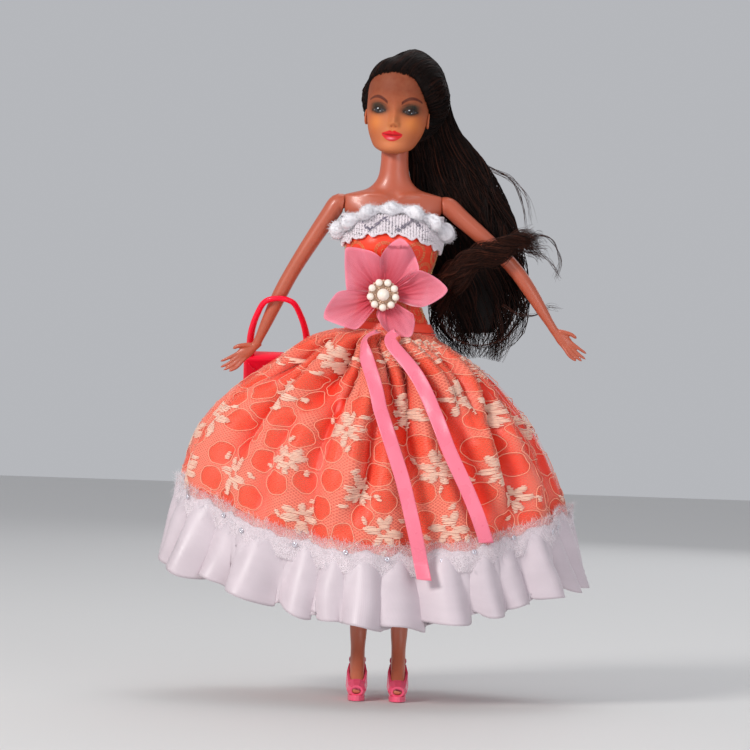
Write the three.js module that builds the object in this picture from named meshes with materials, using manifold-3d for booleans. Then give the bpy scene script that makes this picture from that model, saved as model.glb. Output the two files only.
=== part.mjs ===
// A fashion doll in a ball gown, in millimetres, +Z up. She faces -Y and her left side is at +X.
// The origin is at the middle of her waist, where a doll stand or a hand holds her.
import * as THREE from 'three';
import { mergeVertices } from 'three/addons/utils/BufferGeometryUtils.js';
import Module from 'manifold-3d';

const wasm = await Module();
wasm.setup();

// Driving dimensions: heights above the soles of her shoes, and the sizes of the body.
const hipHeight = 148;
const hipToWaist = 26;
const hipToShoulder = 70.8;
const shoulderToChin = 22.2;
const headHeight = 42.4;
const hipHalfWidth = 18;
const torsoDepth = 10;
const shoulderHalfWidth = 21.5;
const neckRadius = 5.9;
const faceHalfWidth = 14.4;
const headDepth = 14;

// Clearances and the one overrun that every cut uses.
const fitGap = 0.3;
const seamGap = 0.1;
const overrun = 20;

// Joints.
const pegRadius = 2.3;
const pegLength = 3.4;
const pegHeadRadius = 3.5;
const pegHeadThickness = 1.6;
const axleRadius = 2;
const axleHalfLength = 11.5;
const legInnerX = 5;
const legHalfWidth = 6.2;
const hipDrumRadius = 8.4;
const knobRadius = 6.3;
const knobHeight = 7;

// Arms.
const upperArmLength = 42;
const forearmLength = 33;
const handLength = 19.5;
const shoulderRadius = 4;
const elbowRadius = 3.3;
const wristRadius = 1.8;
const palmHalfWidth = 3;
const fingerRadius = 0.85;

// Feet and shoes.
const ankleHeight = 25;
const toeForward = 19;
const ballForward = 12;
const footHalfWidth = 3.5;
const shoeWall = 1;
const soleThickness = 2.4;
const heelTipRadius = 1.8;
const heelTopRadius = 3.4;
const throatSlope = 29;

// Gown. The bodice ends below the shoulders, and the skirt's seam is below the waist.
const clothGap = 0.4;
const satinThickness = 0.8;
const shoulderToBodice = 6.8;
const waistToSeam = 12;
const skirtLength = 100;
const bandHeight = 12;
const bandThickness = 0.9;
const backSlit = 2;
const fastenerWidth = 6;
const fastenerThickness = 0.8;
const trimRadius = 4.5;
const trimSideDrop = 10.5;
const waistbandHeight = 4.6;
const skirtHalfWidth = 83;
const skirtHalfDepth = 46;
const hemSideRise = 22;
const hemLeftDrop = 4;
const skirtLean = 5;
const skirtPuff = 5;
const foldDepth = 2.2;
const layerThickness = 0.6;
const layerGap = 0.5;
const ruffleDrop = 27;
const ruffleOverlap = 4;
const ruffleFlare = 4;
const fluteDepth = 3.6;

// Flower, brooch and ribbons. The flower is above the waist, a little to her right.
const flowerX = -3.1;
const waistToFlower = 4.3;
const petalReach = 28;
const petalThickness = 0.5;
const petalRoot = 2.4;
const broochRadius = 7;
const broochThickness = 1.2;
const centrePearlRadius = 2.75;
const ringPearlRadius = 1.7;
const ringRadius = 5.6;
const ribbonWidth = 6.2;
const ribbonThickness = 0.4;
const ribbonTopLift = 2.2;

// Handbag.
const bagWidth = 32;
const bagHeight = 27;
const bagThickness = 6;
const handleHeight = 35;
const handleTopRadius = 1.2;
const handleFootRadius = 1.9;

// Hair.
const hairTopThickness = 5.6;
const hairSideThickness = 1.2;
const hairRightPuff = 6;
const fallThickness = 5;
const tressRadius = 4;

// Heights that follow.
const waistHeight = hipHeight + hipToWaist;
const shoulderHeight = hipHeight + hipToShoulder;
const chinHeight = shoulderHeight + shoulderToChin;
const knobCentreHeight = chinHeight + knobHeight;
const bodiceTopHeight = shoulderHeight - shoulderToBodice;
const trimCrownHeight = bodiceTopHeight + trimRadius;
const seamHeight = waistHeight - waistToSeam;
const hemFrontHeight = seamHeight - skirtLength;
const flowerHeight = waistHeight + waistToFlower;

const degrees = Math.PI / 180;

// Geometry helpers.

function spreadPoints(points) {
  const vertices = [];
  for (const point of points) {
    vertices.push(point.x, point.y, point.z);
  }
  return vertices;
}

function facesToGeometry(points, faces) {
  const geometry = new THREE.BufferGeometry();
  geometry.setAttribute('position', new THREE.Float32BufferAttribute(spreadPoints(points), 3));
  geometry.setIndex(faces);
  return facingOut(geometry);
}

// Turns every face over when the enclosed volume comes out negative.
function facingOut(geometry) {
  const position = geometry.getAttribute('position');
  const index = geometry.getIndex();
  const corners = [new THREE.Vector3(), new THREE.Vector3(), new THREE.Vector3()];
  let volume = 0;
  for (let i = 0; i < index.count; i += 3) {
    corners.forEach((corner, k) => corner.fromBufferAttribute(position, index.getX(i + k)));
    volume += corners[0].dot(corners[1].clone().cross(corners[2]));
  }
  if (volume < 0) {
    for (let i = 0; i < index.count; i += 3) {
      const first = index.getX(i);
      index.setX(i, index.getX(i + 1));
      index.setX(i + 1, first);
    }
  }
  return geometry;
}

// Skins a stack of rings with equal numbers of points, and closes both ends with a fan.
function ringSolid(rings) {
  const count = rings[0].length;
  const points = rings.flat();
  const faces = [];
  for (let row = 0; row < rings.length - 1; row += 1) {
    for (let k = 0; k < count; k += 1) {
      const a = row * count + k;
      const b = row * count + ((k + 1) % count);
      faces.push(a, b, a + count, b, b + count, a + count);
    }
  }
  [0, rings.length - 1].forEach((row) => {
    const middle = new THREE.Vector3();
    rings[row].forEach((point) => middle.add(point));
    points.push(middle.divideScalar(count));
    const centre = points.length - 1;
    for (let k = 0; k < count; k += 1) {
      const a = row * count + k;
      const b = row * count + ((k + 1) % count);
      if (row === 0) {
        faces.push(b, a, centre);
      } else {
        faces.push(a, b, centre);
      }
    }
  });
  return facesToGeometry(points, faces);
}

// A closed sheet from two grids of points, its outer and inner faces. wraps joins the first column to the last.
function sheetSolid(outer, inner, wraps) {
  const rows = outer.length;
  const columns = outer[0].length;
  const points = [...outer.flat(), ...inner.flat()];
  const innerStart = rows * columns;
  const faces = [];
  const spans = wraps ? columns : columns - 1;
  for (let row = 0; row < rows - 1; row += 1) {
    for (let k = 0; k < spans; k += 1) {
      const a = row * columns + k;
      const b = row * columns + ((k + 1) % columns);
      faces.push(a, b, a + columns, b, b + columns, a + columns);
      const c = a + innerStart;
      const d = b + innerStart;
      faces.push(d, c, c + columns, d, c + columns, d + columns);
    }
  }
  for (let k = 0; k < spans; k += 1) {
    const a = k;
    const b = (k + 1) % columns;
    faces.push(b, a, a + innerStart, b, a + innerStart, b + innerStart);
    const c = (rows - 1) * columns + k;
    const d = (rows - 1) * columns + ((k + 1) % columns);
    faces.push(c, d, c + innerStart, d, d + innerStart, c + innerStart);
  }
  if (!wraps) {
    for (let row = 0; row < rows - 1; row += 1) {
      const a = row * columns;
      const b = a + columns;
      faces.push(a, b, a + innerStart, b, b + innerStart, a + innerStart);
      const c = a + columns - 1;
      const d = c + columns;
      faces.push(d, c, c + innerStart, d, c + innerStart, d + innerStart);
    }
  }
  return facesToGeometry(points, faces);
}

// Rings along a flat curve: side is square to the curve's plane, and each station is [share, side radius,
// radius in the plane].
function loftAlong(curve, side, stations, sides) {
  const rings = stations.map(([share, sideRadius, planeRadius]) => {
    const centre = curve.getPointAt(share);
    const across = curve.getTangentAt(share).cross(side).normalize();
    const ring = [];
    for (let k = 0; k < sides; k += 1) {
      const angle = (k / sides) * 2 * Math.PI;
      const point = centre.clone();
      point.addScaledVector(side, sideRadius * Math.cos(angle));
      point.addScaledVector(across, planeRadius * Math.sin(angle));
      ring.push(point);
    }
    return ring;
  });
  return ringSolid(rings);
}

function toSolid(geometry) {
  const bare = geometry.clone();
  bare.deleteAttribute('normal');
  bare.deleteAttribute('uv');
  const merged = mergeVertices(bare, fitGap * 1e-4);
  return new wasm.Manifold(new wasm.Mesh({
    numProp: 3,
    vertProperties: new Float32Array(merged.getAttribute('position').array),
    triVerts: new Uint32Array(merged.getIndex().array),
  }));
}

function toGeometry(solid) {
  const mesh = solid.getMesh();
  const geometry = new THREE.BufferGeometry();
  geometry.setAttribute('position', new THREE.BufferAttribute(new Float32Array(mesh.vertProperties), 3));
  geometry.setIndex(new THREE.BufferAttribute(new Uint32Array(mesh.triVerts), 1));
  return geometry;
}

function boxSolid(minimum, maximum) {
  const size = maximum.clone().sub(minimum);
  const geometry = new THREE.BoxGeometry(size.x, size.y, size.z);
  const centre = minimum.clone().add(maximum).multiplyScalar(0.5);
  geometry.translate(centre.x, centre.y, centre.z);
  return toSolid(geometry);
}

// A cylinder along X between two places.
function crossBar(radius, startX, endX, y, z, sides = 14) {
  const geometry = new THREE.CylinderGeometry(radius, radius, endX - startX, sides);
  geometry.rotateZ(Math.PI / 2);
  geometry.translate((startX + endX) / 2, y, z);
  return toSolid(geometry);
}

function ellipsoid(radii, centre, around = 16, down = 10) {
  const geometry = new THREE.SphereGeometry(1, around, down);
  geometry.scale(radii.x, radii.y, radii.z);
  geometry.translate(centre.x, centre.y, centre.z);
  return toSolid(geometry);
}

// Smooth values between the rows of a table whose first column rises.
function tableRow(rows, place) {
  let k = 0;
  while (k < rows.length - 2 && rows[k + 1][0] < place) {
    k += 1;
  }
  const before = rows[Math.max(k - 1, 0)];
  const from = rows[k];
  const to = rows[k + 1];
  const after = rows[Math.min(k + 2, rows.length - 1)];
  const share = THREE.MathUtils.clamp((place - from[0]) / (to[0] - from[0]), 0, 1);
  return from.slice(1).map((value, n) => {
    const column = n + 1;
    const startSlope = (to[column] - before[column]) / (to[0] - before[0]);
    const endSlope = (after[column] - from[column]) / (after[0] - from[0]);
    const span = to[0] - from[0];
    const squared = share * share;
    const cubed = squared * share;
    return value * (2 * cubed - 3 * squared + 1)
      + startSlope * span * (cubed - 2 * squared + share)
      + to[column] * (3 * squared - 2 * cubed)
      + endSlope * span * (cubed - squared);
  });
}

function bell(distance, width) {
  return Math.exp(-((distance / width) ** 2));
}

// Torso. Each row of shares: height between hip and shoulder, half width, front depth, back depth.
const torsoShares = [
  [-0.1, 0.26, 0.5, 0.6],
  [-0.03, 0.6, 0.8, 0.9],
  [0.056, 0.89, 1, 1.2],
  [0.14, 1, 1.08, 1.3],
  [0.21, 0.98, 1.05, 1.25],
  [0.28, 0.85, 0.96, 1],
  [0.367, 0.71, 0.86, 0.82],
  [0.45, 0.755, 0.92, 0.84],
  [0.537, 0.87, 1.02, 0.9],
  [0.62, 0.98, 1.14, 0.96],
  [0.706, 1.07, 1.22, 1],
  [0.777, 1.1, 1.22, 1],
  [0.847, 1.08, 1.12, 0.98],
  [0.918, 1.1, 0.98, 0.92],
  [0.975, 1.24, 0.86, 0.84],
  [1.024, 1.24, 0.74, 0.72],
  [1.06, 0.95, 0.64, 0.64],
  [1.095, 0.58, 0.58, 0.6],
  [1.13, 0.36, 0.52, 0.54],
];
const torsoSides = 24;
const bustHeightShare = 0.75;
const bustSpreadShare = 0.46;
const bustDepthShare = 0.34;
const bustSizeShare = 0.34;

function torsoSection(height) {
  const [width, front, back] = tableRow(torsoShares, (height - hipHeight) / hipToShoulder);
  return { halfWidth: width * hipHalfWidth, front: front * torsoDepth, back: back * torsoDepth };
}

// A point on the torso, or at an offset from it. Angle 0 is the front and a quarter turn is her left side.
function torsoPoint(angle, height, offset = 0) {
  const section = torsoSection(height);
  const facing = Math.cos(angle);
  const x = (section.halfWidth + offset) * Math.sin(angle);
  let depth = facing > 0 ? section.front : section.back;
  if (facing > 0) {
    const bustHeight = hipHeight + bustHeightShare * hipToShoulder;
    const reach = bustSizeShare * hipHalfWidth;
    const rise = bell(height - bustHeight, reach);
    const spread = bustSpreadShare * hipHalfWidth;
    const bodyX = section.halfWidth * Math.sin(angle);
    const bust = bell(bodyX - spread, reach) + bell(bodyX + spread, reach);
    depth += bustDepthShare * torsoDepth * rise * bust;
  }
  return new THREE.Vector3(x, -(depth + offset) * facing, height);
}

function torsoRing(height, offset, sides) {
  const ring = [];
  for (let k = 0; k < sides; k += 1) {
    ring.push(torsoPoint((k / sides) * 2 * Math.PI, height, offset));
  }
  return ring;
}

function heightsBetween(from, to, count) {
  const heights = [];
  for (let k = 0; k <= count; k += 1) {
    heights.push(from + ((to - from) * k) / count);
  }
  return heights;
}

function torsoSolid() {
  const rows = torsoShares.map(([share]) => torsoRing(hipHeight + share * hipToShoulder, 0, torsoSides));
  let solid = toSolid(ringSolid(rows));
  // The neck widens into the shoulders below, and ends in a knob inside the head.
  const neckBase = shoulderHeight;
  const knobNeck = neckRadius * 0.74;
  const profile = [
    [0, neckBase],
    [neckRadius * 1.25, neckBase],
    [neckRadius * 1.18, neckBase + shoulderToChin * 0.36],
    [neckRadius, neckBase + shoulderToChin * 0.6],
    [neckRadius * 0.95, chinHeight + knobHeight * 0.25],
    [knobNeck, chinHeight + knobHeight * 0.36],
    [knobNeck, chinHeight + knobHeight * 0.6],
    [knobRadius * 0.9, knobCentreHeight - knobRadius * 0.25],
    [knobRadius, knobCentreHeight],
    [knobRadius * 0.8, knobCentreHeight + knobRadius * 0.4],
    [knobRadius * 0.3, knobCentreHeight + knobRadius * 0.6],
    [0, knobCentreHeight + knobRadius * 0.6],
  ];
  const neck = new THREE.LatheGeometry(profile.map(([r, h]) => new THREE.Vector2(r, h)), 16);
  neck.rotateX(Math.PI / 2);
  solid = solid.add(toSolid(facingOut(mergedPositions(neck))));
  // Flat shoulder faces where the arms turn.
  const reach = new THREE.Vector3(shoulderHalfWidth, overrun, hipToShoulder);
  const middle = new THREE.Vector3(0, 0, shoulderHeight);
  solid = solid.intersect(boxSolid(
    middle.clone().sub(reach).setZ(0),
    middle.clone().add(reach),
  ));
  return solid;
}

function mergedPositions(geometry) {
  geometry.deleteAttribute('normal');
  geometry.deleteAttribute('uv');
  return mergeVertices(geometry, fitGap * 1e-4);
}

function torsoHalves() {
  let solid = torsoSolid();
  for (const side of [-1, 1]) {
    const face = side * (shoulderHalfWidth + overrun);
    const headEnd = side * (shoulderHalfWidth - pegLength + fitGap);
    const pegEnd = side * (shoulderHalfWidth - pegLength - pegHeadThickness - fitGap);
    const bar = (radius, from, to) => crossBar(radius, Math.min(from, to), Math.max(from, to), 0, shoulderHeight);
    solid = solid.subtract(bar(pegRadius + fitGap, face, pegEnd));
    solid = solid.subtract(bar(pegHeadRadius + fitGap, headEnd, pegEnd));
    // The recess that the rounded top of each leg turns in.
    const recessStart = side * (legInnerX - fitGap);
    solid = solid.subtract(crossBar(
      hipDrumRadius + fitGap,
      Math.min(recessStart, face),
      Math.max(recessStart, face),
      0,
      hipHeight,
      24,
    ));
    solid = solid.subtract(boxSolid(
      new THREE.Vector3(Math.min(recessStart, face), -overrun, hipHeight - overrun),
      new THREE.Vector3(Math.max(recessStart, face), overrun, hipHeight),
    ));
  }
  solid = solid.subtract(crossBar(axleRadius + seamGap, -legInnerX, legInnerX, 0, hipHeight));
  const reach = hipToShoulder + overrun;
  const halfSpace = (startY, endY) => boxSolid(
    new THREE.Vector3(-reach, startY, 0),
    new THREE.Vector3(reach, endY, hipHeight + reach + reach),
  );
  return {
    front: solid.intersect(halfSpace(-reach, -seamGap / 2)),
    back: solid.intersect(halfSpace(seamGap / 2, reach)),
  };
}

// Head. Each row of shares: height from chin to crown, half width, and where its front and back lie.
const headShares = [
  [0, 0.18, -0.8, -0.52],
  [0.024, 0.36, -0.9, -0.28],
  [0.07, 0.58, -0.94, 0.1],
  [0.14, 0.76, -0.96, 0.42],
  [0.24, 0.875, -0.98, 0.74],
  [0.35, 0.95, -0.98, 0.96],
  [0.5, 1, -0.97, 1.1],
  [0.64, 0.99, -1, 1.14],
  [0.78, 0.9, -0.94, 1.04],
  [0.9, 0.69, -0.73, 0.81],
  [0.97, 0.42, -0.46, 0.5],
  [1, 0.12, -0.14, 0.14],
];

// How far the face stands out of its smooth oval at a place, in shares of the head's depth.
function faceRelief(x, height) {
  const across = x / faceHalfWidth;
  const up = (height - chinHeight) / headHeight;
  const noseLength = up > 0.3 ? bell(up - 0.3, 0.12) : bell(up - 0.3, 0.026);
  const nose = 0.2 * bell(across, 0.12) * noseLength;
  const lips = 0.075 * bell(across, 0.33) * bell(up - 0.19, 0.05);
  const chin = 0.05 * bell(across, 0.3) * bell(up - 0.06, 0.05);
  const sockets = -0.06 * (bell(across - 0.48, 0.26) + bell(across + 0.48, 0.26)) * bell(up - 0.44, 0.07);
  return (nose + lips + chin + sockets) * headDepth;
}

function headPoint(angle, share, offset = 0) {
  const [width, front, back] = tableRow(headShares, share);
  const height = chinHeight + share * headHeight;
  const facing = Math.cos(angle);
  const x = (width * faceHalfWidth + offset) * Math.sin(angle);
  const middle = ((front + back) / 2) * headDepth;
  const depth = ((back - front) / 2) * headDepth + offset;
  const relief = facing > 0 ? faceRelief(x, height) * Math.min(1, facing * 2) : 0;
  return new THREE.Vector3(x, middle - depth * facing - relief, height);
}

const headSides = 26;

function headRings(offset, sides, count) {
  const rings = [];
  for (let k = 0; k <= count; k += 1) {
    const share = k / count;
    const ring = [];
    for (let n = 0; n < sides; n += 1) {
      ring.push(headPoint((n / sides) * 2 * Math.PI, share, offset));
    }
    // Both ends move out with the sides.
    const lift = offset * (k === 0 ? -1 : Number(k === count));
    ring.forEach((point) => point.setZ(point.z + lift));
    rings.push(ring);
  }
  return rings;
}

function headSolid() {
  let solid = toSolid(ringSolid(headRings(0, headSides, 19)));
  const earHeight = chinHeight + headHeight * 0.33;
  const earSize = headHeight * 0.075;
  for (const side of [-1, 1]) {
    const place = new THREE.Vector3(side * faceHalfWidth * 0.95, headDepth * 0.06, earHeight);
    solid = solid.add(ellipsoid(new THREE.Vector3(earSize * 0.45, earSize * 0.7, earSize), place, 8, 6));
  }
  // The hollow of the head opens at the neck, where a lip holds the knob.
  const lip = neckRadius + fitGap * 2;
  const roomRadius = knobRadius + fitGap * 2;
  const profile = [
    [0, chinHeight - overrun],
    [lip, chinHeight - overrun],
    [lip, chinHeight + knobHeight * 0.3],
    [knobRadius * 0.74 + fitGap * 2, chinHeight + knobHeight * 0.42],
    [knobRadius * 0.74 + fitGap * 2, chinHeight + knobHeight * 0.5],
    [roomRadius, knobCentreHeight - knobRadius * 0.35],
    [roomRadius * 1.2, knobCentreHeight + knobRadius * 0.8],
    [roomRadius * 1.3, chinHeight + headHeight * 0.6],
    [roomRadius, chinHeight + headHeight * 0.75],
    [0, chinHeight + headHeight * 0.82],
  ];
  const hollow = new THREE.LatheGeometry(profile.map(([r, h]) => new THREE.Vector2(r, h)), 14);
  hollow.rotateX(Math.PI / 2);
  return solid.subtract(toSolid(facingOut(mergedPositions(hollow))));
}

// Hair on the head: a puffed cap, open round the face, and lower at the nape.
function hairCapSolid() {
  const sides = headSides;
  const rings = [];
  const count = 8;
  for (let k = 0; k <= count; k += 1) {
    const share = 0.3 + (0.7 * k) / count;
    const ring = [];
    for (let n = 0; n < sides; n += 1) {
      const angle = (n / sides) * 2 * Math.PI;
      const point = headPoint(angle, share, 0);
      const crown = hairTopThickness * share * share;
      const sweep = hairRightPuff * Math.max(Math.sin(angle), 0) * (1 - 0.4 * bell(Math.cos(angle) - 1, 0.5));
      const out = hairSideThickness + fitGap + crown * 0.4 + sweep;
      const middle = new THREE.Vector3(0, 0, point.z);
      const away = point.clone().sub(middle).normalize();
      point.addScaledVector(away, out);
      point.z += crown * Math.max(0, (share - 0.3) / 0.7);
      ring.push(point);
    }
    rings.push(ring);
  }
  let solid = toSolid(ringSolid(rings));
  solid = solid.subtract(toSolid(ringSolid(headRings(fitGap * 3, 20, 19))));
  // The face opening.
  const opening = new THREE.CylinderGeometry(1, 1, 1, 28);
  opening.scale(faceHalfWidth * 0.96, overrun, headHeight * 0.44);
  opening.translate(0, -overrun / 2 - headDepth * 0.02, chinHeight + headHeight * 0.385);
  solid = solid.subtract(toSolid(opening));
  const earRoom = new THREE.Vector3(headHeight * 0.075, headHeight * 0.1, headHeight * 0.12);
  for (const side of [-1, 1]) {
    const place = new THREE.Vector3(side * faceHalfWidth, headDepth * 0.02, chinHeight + headHeight * 0.31);
    solid = solid.subtract(ellipsoid(earRoom, place, 10, 8));
  }
  return solid;
}

// A mass of hair along a route: places are [across, back, height] and the sizes half width and half depth.
function hairMass(points, sizes, sides, steps) {
  const curve = new THREE.CatmullRomCurve3(points, false, 'centripetal');
  const depthWay = new THREE.Vector3(0, 1, 0);
  const rings = [];
  for (let k = 0; k <= steps; k += 1) {
    const share = k / steps;
    const centre = curve.getPointAt(share);
    const along = curve.getTangentAt(share);
    const across = depthWay.clone().cross(along).normalize();
    const deep = along.clone().cross(across).normalize();
    const [halfWidth, halfDepth] = tableRow(sizes, share);
    const ring = [];
    for (let n = 0; n < sides; n += 1) {
      const angle = (n / sides) * 2 * Math.PI;
      // Locks show as ridges that run along the mass.
      const ridge = 1 + 0.06 * Math.cos(angle * 5 + share * 9);
      const point = centre.clone();
      point.addScaledVector(across, halfWidth * ridge * Math.cos(angle));
      point.addScaledVector(deep, halfDepth * ridge * Math.sin(angle));
      ring.push(point);
    }
    rings.push(ring);
  }
  return ringSolid(rings);
}

function hairFallGeometry() {
  const reach = shoulderHalfWidth;
  const drop = hipToShoulder;
  const back = headDepth;
  const neckFall = new THREE.Vector3(reach * 0.38, back * 1.1, chinHeight + headHeight * 0.2);
  const place = (across, behind, down) => new THREE.Vector3(
    reach * across,
    back * behind,
    shoulderHeight - drop * down,
  );
  const points = [
    neckFall,
    place(0.95, 1.2, -0.26),
    place(1.45, 1.05, -0.02),
    place(1.85, 0.95, 0.24),
    place(2.0, 0.92, 0.5),
    place(1.9, 0.95, 0.74),
  ];
  const wide = reach * 0.6;
  const sizes = [
    [0, wide * 0.6, fallThickness * 0.7],
    [0.25, wide * 0.8, fallThickness],
    [0.6, wide, fallThickness],
    [0.9, wide * 1.15, fallThickness],
    [1, wide * 0.8, fallThickness * 0.6],
  ];
  return hairMass(points, sizes, 12, 12);
}

function hairTressGeometry(elbow) {
  const out = elbowRadius + tressRadius * 0.62 + fitGap * 2;
  const place = (across, behind, up) => new THREE.Vector3(
    elbow.x + out * across,
    elbow.y + out * behind,
    elbow.z + out * up,
  );
  const points = [
    place(-3.9, -0.2, -1.5),
    place(-2.9, -0.85, -1.1),
    place(-1.3, -1.02, -0.4),
    place(0.3, -1.02, 0.5),
    place(1.3, -0.7, 1.3),
    place(1.8, 0, 1.9),
  ];
  const sizes = [
    [0, tressRadius * 0.8, tressRadius * 0.6],
    [0.5, tressRadius * 1.1, tressRadius * 0.75],
    [1, tressRadius * 0.5, tressRadius * 0.4],
  ];
  return hairMass(points, sizes, 8, 12);
}

// Arms. Tilts are below the horizontal, seen from the front.
function armRoute(side, upperTilt, foreTilt, handTilt) {
  const start = new THREE.Vector3(side * (shoulderHalfWidth + fitGap), 0, shoulderHeight);
  const step = (from, length, tilt) => new THREE.Vector3(
    from.x + side * length * Math.cos(tilt * degrees),
    from.y,
    from.z - length * Math.sin(tilt * degrees),
  );
  const elbow = step(start, upperArmLength, upperTilt);
  const wrist = step(elbow, forearmLength, foreTilt);
  const tip = step(wrist, handLength, handTilt);
  const turnOut = new THREE.Vector3(start.x + side * shoulderRadius * 0.6, 0, shoulderHeight);
  const deltoid = step(start, shoulderRadius * 2.2, upperTilt * 0.75);
  const curve = new THREE.CatmullRomCurve3([start, turnOut, deltoid, elbow, wrist], false, 'centripetal');
  return { start, elbow, wrist, tip, curve, side };
}

function fingerSolid(from, to, radius) {
  const along = new THREE.LineCurve3(from, to);
  const side = new THREE.Vector3(0, 1, 0);
  return toSolid(loftAlong(along, side, [
    [0, radius, radius],
    [0.6, radius * 0.95, radius * 0.95],
    [0.92, radius * 0.75, radius * 0.75],
    [1, radius * 0.35, radius * 0.35],
  ], 6));
}

// Each row of shares: place along the arm, then its side and plane radii in shares of the shoulder's or elbow's.
const upperArmShares = [
  [0, 1, 1],
  [0.04, 1.04, 1.04],
  [0.1, 1.08, 1.02],
  [0.2, 1, 0.96],
  [0.38, 0.92, 0.88],
];
const forearmShares = [
  [0.54, 1, 1],
  [0.6, 1, 1],
  [0.7, 1.02, 0.98],
  [0.86, 0.78, 0.78],
];

function armSolid(route) {
  const sideWay = new THREE.Vector3(0, 1, 0);
  const sized = (shares, radius) => shares.map(([share, side, plane]) => [share, side * radius, plane * radius]);
  const stations = [
    ...sized(upperArmShares, shoulderRadius),
    ...sized(forearmShares, elbowRadius),
    [1, wristRadius, wristRadius * 1.05],
  ];
  let solid = toSolid(loftAlong(route.curve, sideWay, stations, 12));
  const handWay = route.tip.clone().sub(route.wrist).normalize();
  const across = handWay.clone().cross(sideWay).multiplyScalar(route.side);
  // The palm starts inside the wrist.
  const palmStart = route.wrist.clone().addScaledVector(handWay, -wristRadius);
  const palmEnd = route.wrist.clone().addScaledVector(handWay, handLength * 0.5);
  solid = solid.add(toSolid(loftAlong(new THREE.LineCurve3(palmStart, palmEnd), sideWay, [
    [0, wristRadius * 0.8, wristRadius * 0.9],
    [0.3, wristRadius * 0.85, palmHalfWidth * 0.78],
    [0.7, wristRadius * 0.8, palmHalfWidth],
    [1, wristRadius * 0.6, palmHalfWidth * 0.95],
  ], 10)));
  const lengthShares = [0.42, 0.5, 0.47, 0.38];
  lengthShares.forEach((lengthShare, k) => {
    const spread = (k - 1.5) / 1.5;
    const root = palmEnd.clone().addScaledVector(across, spread * (palmHalfWidth - fingerRadius));
    root.addScaledVector(handWay, -fingerRadius * 2);
    const end = root.clone().addScaledVector(handWay, handLength * lengthShare + fingerRadius * 2);
    end.addScaledVector(across, spread * fingerRadius * 1.5);
    end.y -= fingerRadius * (1 + k * 0.5);
    solid = solid.add(fingerSolid(root, end, fingerRadius * 1.15));
  });
  const thumbRoot = route.wrist.clone().addScaledVector(handWay, handLength * 0.12);
  thumbRoot.addScaledVector(across, -palmHalfWidth * 0.5);
  const thumbEnd = thumbRoot.clone().addScaledVector(handWay, handLength * 0.34);
  thumbEnd.addScaledVector(across, -palmHalfWidth * 0.9);
  solid = solid.add(fingerSolid(thumbRoot, thumbEnd, fingerRadius * 1.25));
  // The peg and its head snap into the shoulder.
  const faceX = route.start.x;
  const headX = route.side * (shoulderHalfWidth - pegLength);
  const tipX = headX - route.side * pegHeadThickness;
  const bar = (radius, from, to) => crossBar(radius, Math.min(from, to), Math.max(from, to), 0, shoulderHeight);
  solid = solid.add(bar(pegRadius, faceX + route.side * shoulderRadius * 0.3, tipX));
  return solid.add(bar(pegHeadRadius, headX, tipX));
}

// Legs. Stations go from the hip to the toes: share of the route, half width, half depth.
function legRoute(side) {
  const hipX = side * (legInnerX + legHalfWidth);
  const ankleX = side * (legInnerX + legHalfWidth * 0.65);
  const knee = hipHeight * 0.55;
  const points = [
    new THREE.Vector3(hipX, 0, hipHeight),
    new THREE.Vector3((hipX + ankleX) / 2, 0, (hipHeight + knee) / 2),
    new THREE.Vector3(ankleX, 0, knee),
    new THREE.Vector3(ankleX, legHalfWidth * 0.15, (knee + ankleHeight) / 2),
    new THREE.Vector3(ankleX, 0, ankleHeight),
    new THREE.Vector3(ankleX, -ballForward * 0.3, ankleHeight * 0.62),
    new THREE.Vector3(ankleX, -ballForward, soleThickness + footHalfWidth * 0.9),
    new THREE.Vector3(ankleX, -toeForward, soleThickness + footHalfWidth * 0.55),
  ];
  return new THREE.CatmullRomCurve3(points, false, 'centripetal');
}

const legShares = [
  [0.035, 1, 1.32],
  [0.12, 1, 1.26],
  [0.22, 0.98, 1.14],
  [0.34, 0.86, 0.98],
  [0.42, 0.78, 0.86],
  [0.5, 0.76, 0.88],
  [0.6, 0.8, 0.92],
  [0.7, 0.7, 0.76],
  [0.78, 0.64, 0.64],
  [0.82, 0.54, 0.6],
];
const ankleShare = 0.78;
const footShares = [
  [0.86, 0.92, 1.05],
  [0.9, 0.92, 0.95],
  [0.95, 1, 0.75],
  [0.985, 0.86, 0.55],
  [1, 0.5, 0.35],
];

function legLoft(side, offset, firstShare = 0) {
  const stations = [
    ...legShares.map(([share, wide, deep]) => [
      share,
      wide * legHalfWidth + offset,
      deep * legHalfWidth + offset,
    ]),
    ...footShares.map(([share, wide, deep]) => [
      share,
      wide * footHalfWidth + offset,
      deep * footHalfWidth + offset,
    ]),
  ];
  const kept = stations.filter(([share]) => share >= firstShare);
  return toSolid(loftAlong(legRoute(side), new THREE.Vector3(1, 0, 0), kept, 10));
}

function heelSolid(side, offset) {
  const x = side * (legInnerX + legHalfWidth * 0.65);
  const radii = new THREE.Vector3(footHalfWidth * 0.8, footHalfWidth * 0.85, footHalfWidth * 1.2);
  radii.addScalar(offset);
  return ellipsoid(radii, new THREE.Vector3(x, footHalfWidth * 0.55, ankleHeight * 0.72), 12, 8);
}

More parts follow.
